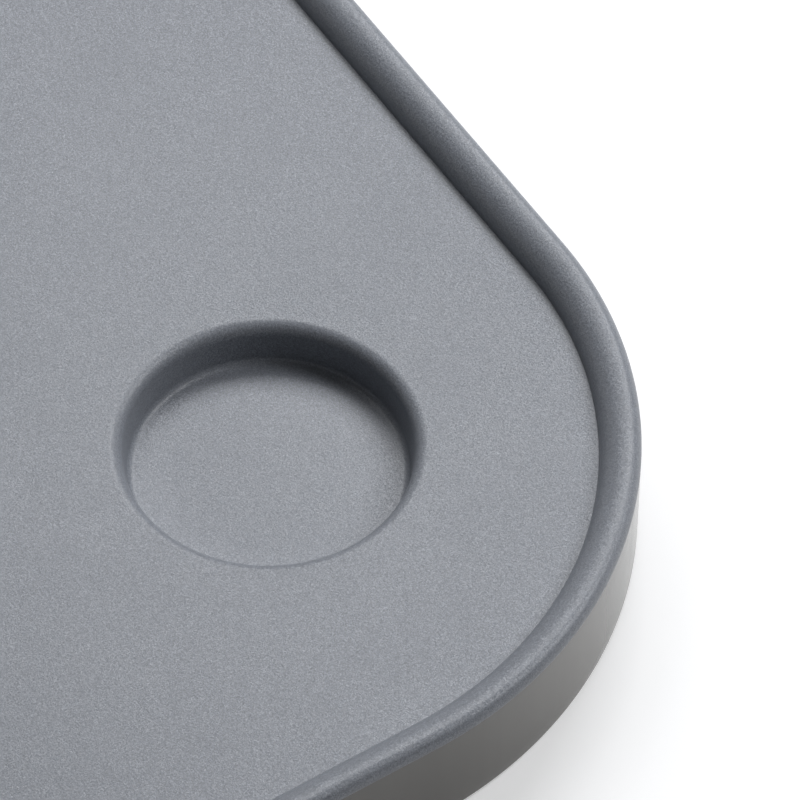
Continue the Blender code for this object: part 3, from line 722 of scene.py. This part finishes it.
REST_SPOTS = {
    f"{name}_{i + 1}": (sign * REST_X, y)
    for name, sign in (("right", 1), ("left", -1))
    for i, y in enumerate(REST_Y)
}
frames = []
for spot in REST_SPOTS.values():
    frames += frame_patches(spot)
    profile = boss_profile(STEM_BOSS, STEM_RADIUS + GAP, FRAME_FOOT_Z, STEM_TOP_Z + GAP)
    frames.append(turned_patch(spot, profile, BOSS_POINTS))
rest_frames = piece("rest_frames", frames, MOULDED, "tray")
print(strap_bosses.name, rest_frames.name)

# %% [markdown]
# ## Rubber rests
#
# Moulded rubber pads keep the tray from sliding on the armrests. Each has grooves across its
# foot and a stem that is pushed into a hole. The pad is a row of cross-sections along its length.
# The section's half width follows the rounded corners, and its foot steps up in each groove.

# %% Rubber finish
RUBBER_DARK, RUBBER_DUST = (0.022, 0.022, 0.023), (0.075, 0.074, 0.071)


def soft_rubber(place):
    dust = noise(place, 60.0, 5.0, 0.65).between(0.48, 0.80)
    colour = mix_colour(dust * 0.35, RUBBER_DARK, RUBBER_DUST)
    return colour, dust * 0.12 + 0.66, bump(noise(place, 2600.0), 0.00004)


RUBBER = finish_from("dark_soft_rubber", soft_rubber, ior=1.52)

# %% Pads and stems
GROOVES, GROOVE_WIDTH, GROOVE_DEPTH = (-0.012, -0.004, 0.004, 0.012), 0.0016, 0.0008
PAD_EDGE, GROOVE_SLOPE = 0.0005, 0.00012


def corner_loss(past, radius):
    """What a round corner takes off a half width, at a distance past the corner's start."""
    return radius - np.sqrt(np.maximum(radius**2 - np.maximum(0, past) ** 2, 0))


def pad_rows():
    """The places of the sections along the pad: close together where the corners curve and at
    both sides of each groove."""
    corner_start = REST_LENGTH / 2 - REST_CORNER
    turn = np.radians(np.linspace(0, 90, 16))
    corner = corner_start + REST_CORNER * np.sin(turn)
    top, foot = (GROOVE_WIDTH / 2 + slope for slope in (GROOVE_SLOPE, -GROOVE_SLOPE))
    grooves = np.add.outer(GROOVES, [-top, -foot, foot, top])
    return np.unique(np.round(np.concatenate([-corner, grooves.ravel(), corner]), 7))


def rest_patches(centre):
    """The section at y is a rounded rectangle in x and z. Its half width is the pad's, less
    what the corner takes off, and its foot is raised by the groove's depth inside a groove."""
    y = pad_rows()
    half = REST_WIDTH / 2 - corner_loss(np.abs(y) - (REST_LENGTH / 2 - REST_CORNER), REST_CORNER)
    into = np.abs(y[:, None] - np.array(GROOVES)).min(axis=1) < GROOVE_WIDTH / 2
    foot = np.where(into, GROOVE_DEPTH, 0.0)
    end = np.abs(y) > REST_LENGTH / 2 - PAD_EDGE
    sunk = np.where(end, PAD_EDGE * 0.6, 0.0)
    height = REST_THICKNESS - foot - 2 * sunk
    section = rounded_rectangle(2 * half, height, PAD_EDGE, 5)
    middle = (REST_THICKNESS + foot) / 2
    across, level = section[..., 0], section[..., 1] + middle[:, None]
    rings = stacked(centre[0] + across, centre[1] + y[:, None], level)
    stem = np.vstack([
        [[0, REST_THICKNESS / 2], [STEM_RADIUS, REST_THICKNESS / 2]],
        arc((STEM_RADIUS - STEM_EDGE, STEM_TOP_Z - STEM_EDGE), STEM_EDGE, 0, 90, 5),
        [[0, STEM_TOP_Z]],
    ])
    return [*swept_patches(rings), turned_patch(centre, stem, 32)]


for name, spot in REST_SPOTS.items():
    patches = rest_patches(spot)
    piece(f"rubber_pad_{name}", patches, RUBBER, "tray", [f"armrest_rest_{name}"])
print("rubber pads:", len(REST_SPOTS))

# %% [markdown]
# ## Straps
#
# Each strap is a length of 38 mm webbing, screwed to the tray at one end. It passes through the
# ring, turns back under itself and is held by hook tape between its two runs. The webbing is a
# flat section with rounded selvedges, carried along that path. Two numbers stored on its points,
# the length along it and the place across it, carry the weave round the turn.
#
# Where the strap would be blended from the tray to the ring, over about 50 mm beside the ring, is
# worked out, but the strap is not bent and rides on no body, so it doesn't follow its ring.

# %% Webbing finish
WEB_SHADE_AND_FUZZ_DARK, WEB_LIT_AND_FUZZ_LIGHT = (0.006, 0.006, 0.007), (0.036, 0.036, 0.039)
HOOK_TOP_PAINTED_LIT, HOOK_GAP_PAINTED_SHADE = (0.05, 0.05, 0.052), (0.008, 0.008, 0.008)
THREAD_DARK, THREAD_LIGHT = (0.012, 0.012, 0.013), (0.060, 0.060, 0.063)
PANEL_WIDTH, SLANT_PITCH, YARN_PITCH = 0.0095, 0.0018, 0.0011


def webbing(place):
    """A herringbone weave: ribs across the width, whose rows slant one way and then the other
    in panels. Height is the product of two sine waves, one across and one along the slant.
    The colour follows that height, darker where the weave is low: painted shade in its hollows,
    with a random fuzz of yarn tone on top."""
    along, across = attribute(place, "along"), attribute(place, "across")
    panel = (across / PANEL_WIDTH).math("PINGPONG", 0.5)
    slant = (along / SLANT_PITCH + panel * 4.0) * math.tau
    yarn = (across / YARN_PITCH) * math.tau
    weave = (slant.math("SINE") * 0.5 + 0.5) * (yarn.math("SINE") * 0.5 + 0.5)
    fuzz = noise(place, 5200.0, 2.0, 0.6)
    # The weave's hollows are painted darker and its ribs lighter: painted shade and light, beside
    # a random yarn tone.
    colour = mix_colour(weave * 0.75 + fuzz * 0.25, WEB_SHADE_AND_FUZZ_DARK, WEB_LIT_AND_FUZZ_LIGHT)
    return colour, fuzz * 0.15 + 0.72, bump(weave + fuzz * 0.3, 0.00022)


def hook_tape(place):
    cells = {"Vector": place, "Scale": 1300.0}
    hooks = place.node("ShaderNodeTexVoronoi", {"feature": "F1"}, cells)
    # The tops of the hooks are painted lighter and the gaps between them darker: a painted
    # highlight and painted shade that follow the bump.
    colour = mix_colour(hooks.between(0.1, 0.6), HOOK_TOP_PAINTED_LIT, HOOK_GAP_PAINTED_SHADE)
    return colour, None, bump(1 - hooks, 0.0003)


def thread(place):
    twist = noise(place, 3800.0, 1.0, 0.5, (1.0, 1.0, 3.0))
    return (mix_colour(twist, THREAD_DARK, THREAD_LIGHT),)


WEBBING = finish_from("black_woven_webbing", webbing, sheen_weight=0.25, sheen_roughness=0.5)
HOOK_TAPE = finish_from("black_hook_tape", hook_tape, roughness=0.75)
THREAD = finish_from("black_thread", thread, roughness=0.6)

# %% The path of a strap
STRAP_WIDTH, STRAP_THICKNESS = 0.038, 0.0015
SELVEDGE = STRAP_THICKNESS * 0.42
RING_REACH, WIRE_RADIUS = 0.0155, 0.0015
LOOP_RADIUS = WIRE_RADIUS + GAP + STRAP_THICKNESS / 2
PLATE_WIDTH, PLATE_LENGTH, PLATE_THICKNESS, PLATE_TOP_Z = 0.022, 0.044, 0.0020, 0.0101
STRAP_START = HINGE_REACH - ANCHOR_REACH + PLATE_WIDTH / 2
TIP_REACH = 0.154
STRAP_TIP = HINGE_REACH - TIP_REACH
TIP_CORNER, TIP_TURN = 0.009, 86
ROW_STEP = 0.0015


def path_length(path):
    """The length of a path up to each of its points."""
    step = np.linalg.norm(np.diff(path, axis=0), axis=1)
    return np.concatenate([[0], np.cumsum(step)])


def strip_rings(path, section, strap):
    """A strip along a path of (outward, height) seen from the hinge: the section's thickness
    lies across the path in the upright plane, and its width along y."""
    direction = np.gradient(path, path_length(path), axis=0)
    direction /= np.linalg.norm(direction, axis=1, keepdims=True)
    normal = np.stack([-direction[:, 1], direction[:, 0]], axis=1)
    spot = path[:, None, :] + section[..., :1] * normal[:, None, :]
    x, y, z = strap["hinge"]
    return stacked(x + strap["side"] * spot[..., 0], y + section[..., 1], z + spot[..., 1])


def strap_path():
    """Points (outward, height) from the anchor round the ring's far wire to the tip."""
    outward = np.linspace(-STRAP_START, -RING_REACH, round((STRAP_START - RING_REACH) / ROW_STEP))
    over = np.stack([outward, np.full_like(outward, LOOP_RADIUS)], axis=1)
    loop = arc((-RING_REACH, 0), LOOP_RADIUS, 90, -90, 25)
    straight = STRAP_TIP - RING_REACH - TIP_CORNER
    back = np.linspace(0, straight, round(straight / ROW_STEP))
    corner = straight + TIP_CORNER * np.sin(np.radians(np.linspace(0, TIP_TURN, 14)))
    back = np.concatenate([back, corner[1:]])
    under = np.stack([-RING_REACH - back, np.full_like(back, -LOOP_RADIUS)], axis=1)
    return np.vstack([over, loop[1:-1], under])


def strap_patches(strap):
    """The webbing's section carried along its path, narrower in the tip's rounded corners."""
    path = strap_path()
    length = path_length(path)
    corner_start = length[-1] - TIP_CORNER * math.sin(math.radians(TIP_TURN))
    width = STRAP_WIDTH - 2 * corner_loss(length - corner_start, TIP_CORNER)
    section = rounded_rectangle(STRAP_THICKNESS, width, SELVEDGE, 5)
    rings = strip_rings(path, section, strap)
    count = section.shape[1]
    along, across = np.repeat(length, count), section[..., 1].ravel()
    return [
        grid_patch(rings, wrap_columns=True, along=along, across=across),
        cap_patch(rings[0], along=0.0, across=across[:count]),
        cap_patch(rings[-1], along=length[-1], across=across[-count:]),
    ]


# %% Straps, and the stretch where they would bend
BEND_START, BEND_END = 0.0675, 0.0190

for strap in STRAPS:
    tag, (x, y, z), side = strap["tag"], strap["hinge"], strap["side"]
    made = piece(f"webbing_{tag}", strap_patches(strap), WEBBING, None, [f"strap_{tag}"])
    drill(made, strap, "anchor", z, z + DRILLED)
    start, end = ((x - side * reach, y, z) for reach in (BEND_START, BEND_END))
    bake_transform(made)
    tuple(start)
    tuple(end)
print("straps:", len(STRAPS))

# %% Hook patches and stitches
PATCH_LENGTH, PATCH_WIDTH, PATCH_CORNER, PATCH_REACH = 0.050, 0.034, 0.003, 0.0975
STITCH_LENGTH, STITCH_PITCH, STITCH_RADIUS, STITCH_INSET = 0.0022, 0.0030, 0.00030, 0.0018
PATCH_EDGE, STITCH_FLATNESS = 0.0004, 0.6


def stitch_line(start, end):
    """Capsules along a line seen from above. The radius along a stitch follows a half ellipse,
    and each capsule is a little flattened in height."""
    start, end = np.asarray(start), np.asarray(end)
    reach = np.linalg.norm(end - start)
    along = (end - start) / reach
    across = np.array([-along[1], along[0], 0])
    count = int(reach / STITCH_PITCH)
    middles = (np.arange(count) + 0.5) * (reach / count)
    s = np.array([-1.0, -0.92, -0.6, 0.0, 0.6, 0.92, 1.0])
    radius = STITCH_RADIUS * np.sqrt(1 - s**2 + 1e-4)
    turn = np.arange(8)[:, None] * (math.tau / 8)
    around = np.cos(turn) * across + np.sin(turn) * np.array([0, 0, STITCH_FLATNESS])
    for middle in middles:
        spine = start + (middle + s[:, None] * STITCH_LENGTH / 2) * along
        rings = spine[:, None, :] + radius[:, None, None] * around
        yield from swept_patches(rings)


for strap in STRAPS:
    tag, (x, y, z), side = strap["tag"], strap["hinge"], strap["side"]
    half = LOOP_RADIUS - STRAP_THICKNESS / 2 - GAP
    middle = (x - side * PATCH_REACH, y)
    sizes = (PATCH_LENGTH, PATCH_WIDTH, PATCH_CORNER, z - half, z + half, PATCH_EDGE)
    patches = slab_patches(*sizes, middle)
    piece(f"hook_tape_{tag}", patches, HOOK_TAPE, "tray", [f"hook_patch_{tag}"])
    level = z - LOOP_RADIUS - STRAP_THICKNESS / 2
    reach = np.array([PATCH_LENGTH / 2 - STITCH_INSET, PATCH_WIDTH / 2 - STITCH_INSET])
    corners = [(*(middle + reach * s), level) for s in QUARTERS]
    stitches = []
    for start, end in zip(corners, corners[1:] + corners[:1]):
        stitches += stitch_line(start, end)
    piece(f"stitches_{tag}", stitches, THREAD, "tray")

# %% [markdown]
# ## Metal and moulded fittings
#
# The wire ring is bent from 3 mm nickel-plated wire and butt welded on a short side. Its hinge
# side turns in a strip of stainless steel that is rolled round it and screwed to two bosses. The
# anchor plate is a moulding that clamps the webbing's end under two more screws.
#
# The screws are zinc-plated pan heads with a cross drive. Their thread is a helix, made by
# letting the shank's radius depend on height and angle together.

# %% Finishes of the fittings
# Each metal's name, darker and lighter colours, least roughness, and how its streaks stretch.
METALS = (
    ("rolled_stainless", (0.52, 0.52, 0.51), (0.62, 0.62, 0.60), 0.24, (0.08, 1.0, 1.0)),
    ("nickel_plate", (0.60, 0.59, 0.56), (0.70, 0.68, 0.64), 0.13, (1.0, 1.0, 1.0)),
    ("zinc_plate", (0.56, 0.58, 0.60), (0.68, 0.70, 0.71), 0.22, (1.0, 1.0, 1.0)),
)
PLATE_DARK, PLATE_LIGHT = (0.018, 0.018, 0.019), (0.034, 0.034, 0.035)


def metal(name, dark, light, rough, stretch):
    def recipe(place):
        streaks, broad = noise(place, 900.0, 3.0, 0.6, stretch), noise(place, 120.0)
        roughness = streaks * 0.10 + broad * 0.05 + rough
        return mix_colour(broad, dark, light), roughness, bump(streaks, 0.000008)

    return finish_from(name, recipe, metallic=1.0)


def black_moulding(place):
    grain = noise(place, 2200.0)
    scuff = noise(place, 90.0, 4.0, 0.6).between(0.45, 0.8)
    colour = mix_colour(scuff, PLATE_DARK, PLATE_LIGHT)
    return colour, grain * 0.10 + scuff * 0.08 + 0.36, bump(grain, 0.00003)


STAINLESS, NICKEL, ZINC = (metal(*row) for row in METALS)
PLATE = finish_from("black_moulded_plate", black_moulding, ior=1.5)

# %% Anchor plates
PLATE_CORNER, PLATE_EDGE, DRILLED_PAST = 0.003, 0.0005, 0.002

for strap in STRAPS:
    tag, y = strap["tag"], strap["hinge"][1]
    low, high = PLATE_TOP_Z - PLATE_THICKNESS, PLATE_TOP_Z
    middle = (strap["side"] * ANCHOR_REACH, y)
    sizes = (PLATE_WIDTH, PLATE_LENGTH, PLATE_CORNER, low, high, PLATE_EDGE)
    patches = slab_patches(*sizes, middle)
    made = piece(f"clamp_plate_{tag}", patches, PLATE, "tray", [f"anchor_plate_{tag}"])
    drill(made, strap, "anchor", low - DRILLED_PAST, high + DRILLED_PAST)
print("clamp plates:", len(STRAPS))

# %% Brackets
LEAF_THICKNESS, LEAF_LENGTH, LEAF_REACH, KNUCKLE_WRAP = 0.0015, 0.030, 0.0135, 255
LEAF_EDGE, LEAF_CORNER = 0.0003, 0.0025


def bracket_patches(strap):
    """A strip's section carried along the leaf and round the wire. The leaf's free end has
    rounded corners, so its width there is less by what the corner takes off."""
    radius = WIRE_RADIUS + GAP + LEAF_THICKNESS / 2
    turn = np.radians(np.linspace(88, 0, 10))
    corner = LEAF_REACH - LEAF_CORNER + LEAF_CORNER * np.sin(turn)
    outward = np.concatenate([corner, np.linspace(LEAF_REACH - LEAF_CORNER, 0, 8)[1:]])
    leaf = np.stack([outward, np.full_like(outward, radius)], axis=1)
    roll = arc((0, 0), radius, 90, 90 + KNUCKLE_WRAP, 52)
    path = np.vstack([leaf, roll[1:]])
    taken = corner_loss(path[:, 0] - (LEAF_REACH - LEAF_CORNER), LEAF_CORNER)
    section = rounded_rectangle(LEAF_THICKNESS, LEAF_LENGTH - 2 * taken, LEAF_EDGE, 4)
    return swept_patches(strip_rings(path, section, strap))


for strap in STRAPS:
    tag, z = strap["tag"], strap["hinge"][2]
    patches = bracket_patches(strap)
    made = piece(f"rolled_leaf_{tag}", patches, STAINLESS, "tray", [f"bracket_{tag}"])
    drill(made, strap, "bracket", z, z + DRILLED)
print("rolled leaves:", len(STRAPS))

# %% Wire rings
RING_CORNER, RING_SPARE = 0.0035, 0.0020
RING_WIDTH = STRAP_WIDTH + RING_SPARE + 2 * WIRE_RADIUS
WELD_BULGE, WELD_HALF, WELD_REACH = 0.00012, 0.0011, 0.0030


def ring_patches(strap):
    """A circle of wire carried round a rounded rectangle that lies level. The wire's radius
    grows by a little at the weld, as a bell curve of the distance from it."""
    x, y, z = strap["hinge"]
    spine = rounded_rectangle(RING_REACH, RING_WIDTH, RING_CORNER, 12)[0]
    extra = np.linspace(-1, 1, 9)[:, None] * (WELD_REACH, 0) + (0, RING_WIDTH / 2)
    spine = np.vstack([spine[:12], extra[::-1], spine[12:]])
    ahead = np.roll(spine, -1, axis=0) - np.roll(spine, 1, axis=0)
    ahead /= np.linalg.norm(ahead, axis=1, keepdims=True)
    outward = np.stack([ahead[:, 1], -ahead[:, 0]], axis=1)
    from_weld = np.linalg.norm(spine - (0, RING_WIDTH / 2), axis=1)
    radius = WIRE_RADIUS + WELD_BULGE * np.exp(-((from_weld / WELD_HALF) ** 2))
    turn = np.arange(24) * (math.tau / 24)
    level = spine[:, None, :] + (radius[:, None] * np.cos(turn))[..., None] * outward[:, None, :]
    middle = x - strap["side"] * RING_REACH / 2
    lift = radius[:, None] * np.sin(turn)
    rings = stacked(middle + level[..., 0], y + level[..., 1], z + lift)
    return [grid_patch(rings, wrap_rows=True, wrap_columns=True)]


for strap in STRAPS:
    tag = strap["tag"]
    piece(f"wire_ring_{tag}", ring_patches(strap), NICKEL, strap["body"], [f"ring_{tag}"])
print("wire rings:", len(STRAPS))

# %% Screws
SCREW_RADIUS, SCREW_POINT, HEAD_RADIUS, HEAD_HEIGHT = 0.0018, 0.0015, 0.0036, 0.0020
HEAD_EDGE, SHANK_ROOT, DOME_START = 0.0002, 0.0003, 12
THREAD_PITCH, THREAD_DEPTH, RIDGE_SHARE = 0.0012, 0.00035, 0.75
DRIVE_LENGTH, DRIVE_WIDTH, DRIVE_DEPTH = 0.0036, 0.0009, 0.0009
DRIVE_CORNER = DRIVE_WIDTH * 0.2
# A blade of the drive at three levels: how far into the head each is, and the shares of the
# drive's length and width that the blade has there.
BLADE = ((-0.0004, 1.25, 1.15), (0.0001, 1.0, 0.9), (DRIVE_DEPTH, 0.62, 0.55))


def head_profile(seat):
    """From the middle of the seat out to the head's rim and over its dome, which is a part of
    an ellipse."""
    turn = np.radians(np.linspace(DOME_START, 90, 12))
    across, drop = HEAD_RADIUS * np.cos(turn), HEAD_HEIGHT * np.sin(turn)
    dome = np.stack([across, seat - drop], axis=1)
    rim = [[0, seat], [HEAD_RADIUS - HEAD_EDGE, seat], [HEAD_RADIUS, seat - HEAD_EDGE]]
    return np.vstack([rim, dome])


def thread_patches(spot, seat):
    """A shank whose radius is the core's, plus a ridge wherever height over pitch less angle
    over a full turn is a whole number. It tapers to a point over its last stretch."""
    z = np.linspace(-SHANK_ROOT, SCREW_SHANK, 73)
    angle = np.arange(24) * (math.tau / 24)
    phase = z[:, None] / THREAD_PITCH - angle / math.tau
    ridge = np.abs(phase - np.round(phase)) * 2
    ridge = np.clip(1 - ridge / RIDGE_SHARE, 0, 1)
    taper = np.clip((SCREW_SHANK - z) / SCREW_POINT, 0.02, 1)
    radius = (SCREW_RADIUS - THREAD_DEPTH + THREAD_DEPTH * ridge) * taper[:, None]
    x, y = spot[0] + radius * np.cos(angle), spot[1] + radius * np.sin(angle)
    return swept_patches(stacked(x, y, seat + z[:, None]))


def cross_cutter(spot, seat):
    """Two crossing blades that narrow with depth, as a driver's tip does."""
    level, long, wide = np.array(BLADE).T
    long, wide = long * DRIVE_LENGTH, wide * DRIVE_WIDTH
    for sizes in ((long, wide), (wide, long)):
        outlines = rounded_rectangle(*sizes, DRIVE_CORNER, 3)
        yield swept_patches(at_height(outlines + np.asarray(spot), seat - HEAD_HEIGHT + level))


for strap in STRAPS:
    for name, spot, seat in screw_spots(strap):
        patches = [turned_patch(spot, head_profile(seat), 48)]
        made = piece(f"pan_head_{name}", patches, ZINC, "tray", [name])
        for blade in cross_cutter(spot, seat):
            cut(made, blade)
        piece(f"shank_of_{name}", thread_patches(spot, seat), ZINC, "tray")
print("screws:", 4 * len(STRAPS))

# %% [markdown]
# ## Camera
#
# The photograph was taken from above the near right side with a long lens, and shows only the
# corner with the recess. The lens, distance, angles and the slight roll below were fitted to the
# outlines of the corner, the bead and the recess. With a fitted camera, each difference that is
# left in the picture is one of shape or light.

# %% Camera fitted to the corner
LENS_MM, SENSOR_MM = 280.87, 36.0
VIEW_TURN, VIEW_DOWN, VIEW_ROLL = (math.radians(a) for a in (34.028, 51.790, 1.131))
VIEW_TARGET = Vector((0.20170, 0.17852, 0.0254))
VIEW_DISTANCE, CLIP_START, CLIP_END = 1.58638, 0.05, 60.0

toward = Vector((
    -math.cos(VIEW_TURN) * math.cos(VIEW_DOWN),
    math.sin(VIEW_TURN) * math.cos(VIEW_DOWN),
    -math.sin(VIEW_DOWN),
))
level = toward.cross(Vector((0, 0, 1))).normalized()
upright = level.cross(toward)
right = math.cos(VIEW_ROLL) * level + math.sin(VIEW_ROLL) * upright
up = math.cos(VIEW_ROLL) * upright - math.sin(VIEW_ROLL) * level

camera = add_object("camera", bpy.data.cameras.new("camera"))
camera.data.lens, camera.data.sensor_width = LENS_MM, SENSOR_MM
camera.data.clip_start, camera.data.clip_end = CLIP_START, CLIP_END
turn = Matrix((right, up, -toward)).transposed().to_4x4()
camera.matrix_world = Matrix.Translation(VIEW_TARGET - VIEW_DISTANCE * toward) @ turn
bpy.context.scene.camera = camera
print("camera at", [round(v, 3) for v in camera.matrix_world.translation])

# %% [markdown]
# ## Studio
#
# The photograph is lit softly from behind and from the right, with little light from the
# camera's side, so that the slopes which face the camera are dark. A row of softboxes on an arc
# does that, and the strength of each was fitted to the brightness across the bead and the
# skirt. The floor and the horizon look pale to the camera and to reflections only, so they send
# hardly any light onto the plastic.

# %% Lamps
LAMP_DISTANCE, LAMP_SIZE, LAMP_TINT = 1.3, 0.5, (0.985, 0.997, 1.02)
LAMP_AIM = Vector((0.20, 0.18, 0.025))
# The power of a lamp of strength 1 that stood straight overhead.
FULL_POWER = 0.5 * math.pi**2 * LAMP_DISTANCE**2


def soft_lamp(name, place, power):
    """A square lamp at a place, turned to face the tray's corner."""
    data = bpy.data.lights.new(name, "AREA")
    data.size, data.energy, data.color = LAMP_SIZE, power, LAMP_TINT
    made = add_object(name, data)
    made.location = place
    made.rotation_mode = "QUATERNION"
    made.rotation_quaternion = (LAMP_AIM - place).to_track_quat("-Z", "Y")
    made.visible_camera = False


# Each lamp's height above the floor and its turn from straight behind the tray, in degrees, and
# its strength.
LAMPS = ((48, -45, 0.12), (48, -15, 0.28), (48, 15, 0.66), (48, 75, 0.58), (48, 110, 0.05))
AWAY = Vector((-math.cos(VIEW_TURN), math.sin(VIEW_TURN), 0.0))
for rise, turned, strength in LAMPS:
    flat = Matrix.Rotation(-math.radians(turned), 3, "Z") @ AWAY
    rise = math.radians(rise)
    place = LAMP_AIM + LAMP_DISTANCE * (math.cos(rise) * flat + Vector((0, 0, math.sin(rise))))
    soft_lamp(f"softbox_{turned:+d}", place, strength * FULL_POWER / math.sin(rise))
print("softboxes:", len(LAMPS))

# %% World and floor
WORLD_GREY, ZENITH_GREY = 0.015, 0.12
HORIZON_TOP, ZENITH_FOOT = math.sin(math.radians(6)), math.sin(math.radians(25))
FLOOR_GREY, FLOOR_GLOW, FLOOR_HALF = 0.80, 0.30, 9.0
GLOW_START, GLOW_END = 0.2, 0.9


def seen_directly(tree):
    """1 for rays from the camera, from reflections and through glass, and 0 for the rest."""
    camera_ray, glossy_ray, through_ray = (
        add_node(tree, "ShaderNodeLightPath", out=f"Is {kind} Ray")
        for kind in ("Camera", "Glossy", "Transmission")
    )
    return camera_ray.math("MAXIMUM", glossy_ray).math("MAXIMUM", through_ray)


def studio_world():
    """White at the horizon and grey overhead where it is looked at or reflected. As a light it
    is nearly black all round."""
    world = bpy.data.worlds.new("studio")
    world.use_nodes = True
    tree = world.node_tree
    direction = object_place(tree)
    height = direction.node("ShaderNodeSeparateXYZ", None, {"Vector": direction}, 2)
    shown = 1 - height.between(HORIZON_TOP, ZENITH_FOOT) * (1 - ZENITH_GREY)
    seen = seen_directly(tree)
    background = tree.nodes["Background"]
    background.inputs["Color"].default_value = (1.0, 1.0, 1.0, 1.0)
    feed(background, "Strength", seen * shown + (1 - seen) * WORLD_GREY)
    return world


def pale_floor():
    """A dull pale surface that glows, but only where it is looked at or reflected. The glow rises
    away from the tray, where the softboxes no longer reach the floor."""
    made, tree, shader = new_material("pale_floor", roughness=0.9, emission_strength=1.0)
    shader.inputs["Base Color"].default_value = (FLOOR_GREY, FLOOR_GREY, FLOOR_GREY, 1.0)
    place = object_place(tree)
    away = place.node("ShaderNodeVectorMath", {"operation": "LENGTH"}, {0: place}, 1)
    glow = mix_colour(away.between(GLOW_START, GLOW_END), (FLOOR_GLOW,) * 3, (1.0,) * 3)
    feed(shader, "Emission Color", mix_colour(seen_directly(tree), (0.0,) * 3, glow))
    return made


bpy.context.scene.world = studio_world()
corners = np.array([[-1, -1], [1, -1], [1, 1], [-1, 1]]) * FLOOR_HALF
floor_mesh = bpy.data.meshes.new("studio_floor")
floor_mesh.from_pydata([(x, y, 0.0) for x, y in corners], [], [(0, 1, 2, 3)])
floor_mesh.materials.append(pale_floor())
studio_floor = add_object("studio_floor", floor_mesh)
studio_floor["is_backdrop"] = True

bpy.context.scene.view_settings.view_transform = "Standard"

# %% [markdown]
# ## Sizes of the CAD model and the finished one
#
# The boxes of the CAD model and of the finished one are kept beside each other, so that they
# can be compared.

# %% Sizes and finish
sizes = {
    "cad": [list(corner) for corner in cad_bounds],
    "visual": [list(corner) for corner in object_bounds()],
}
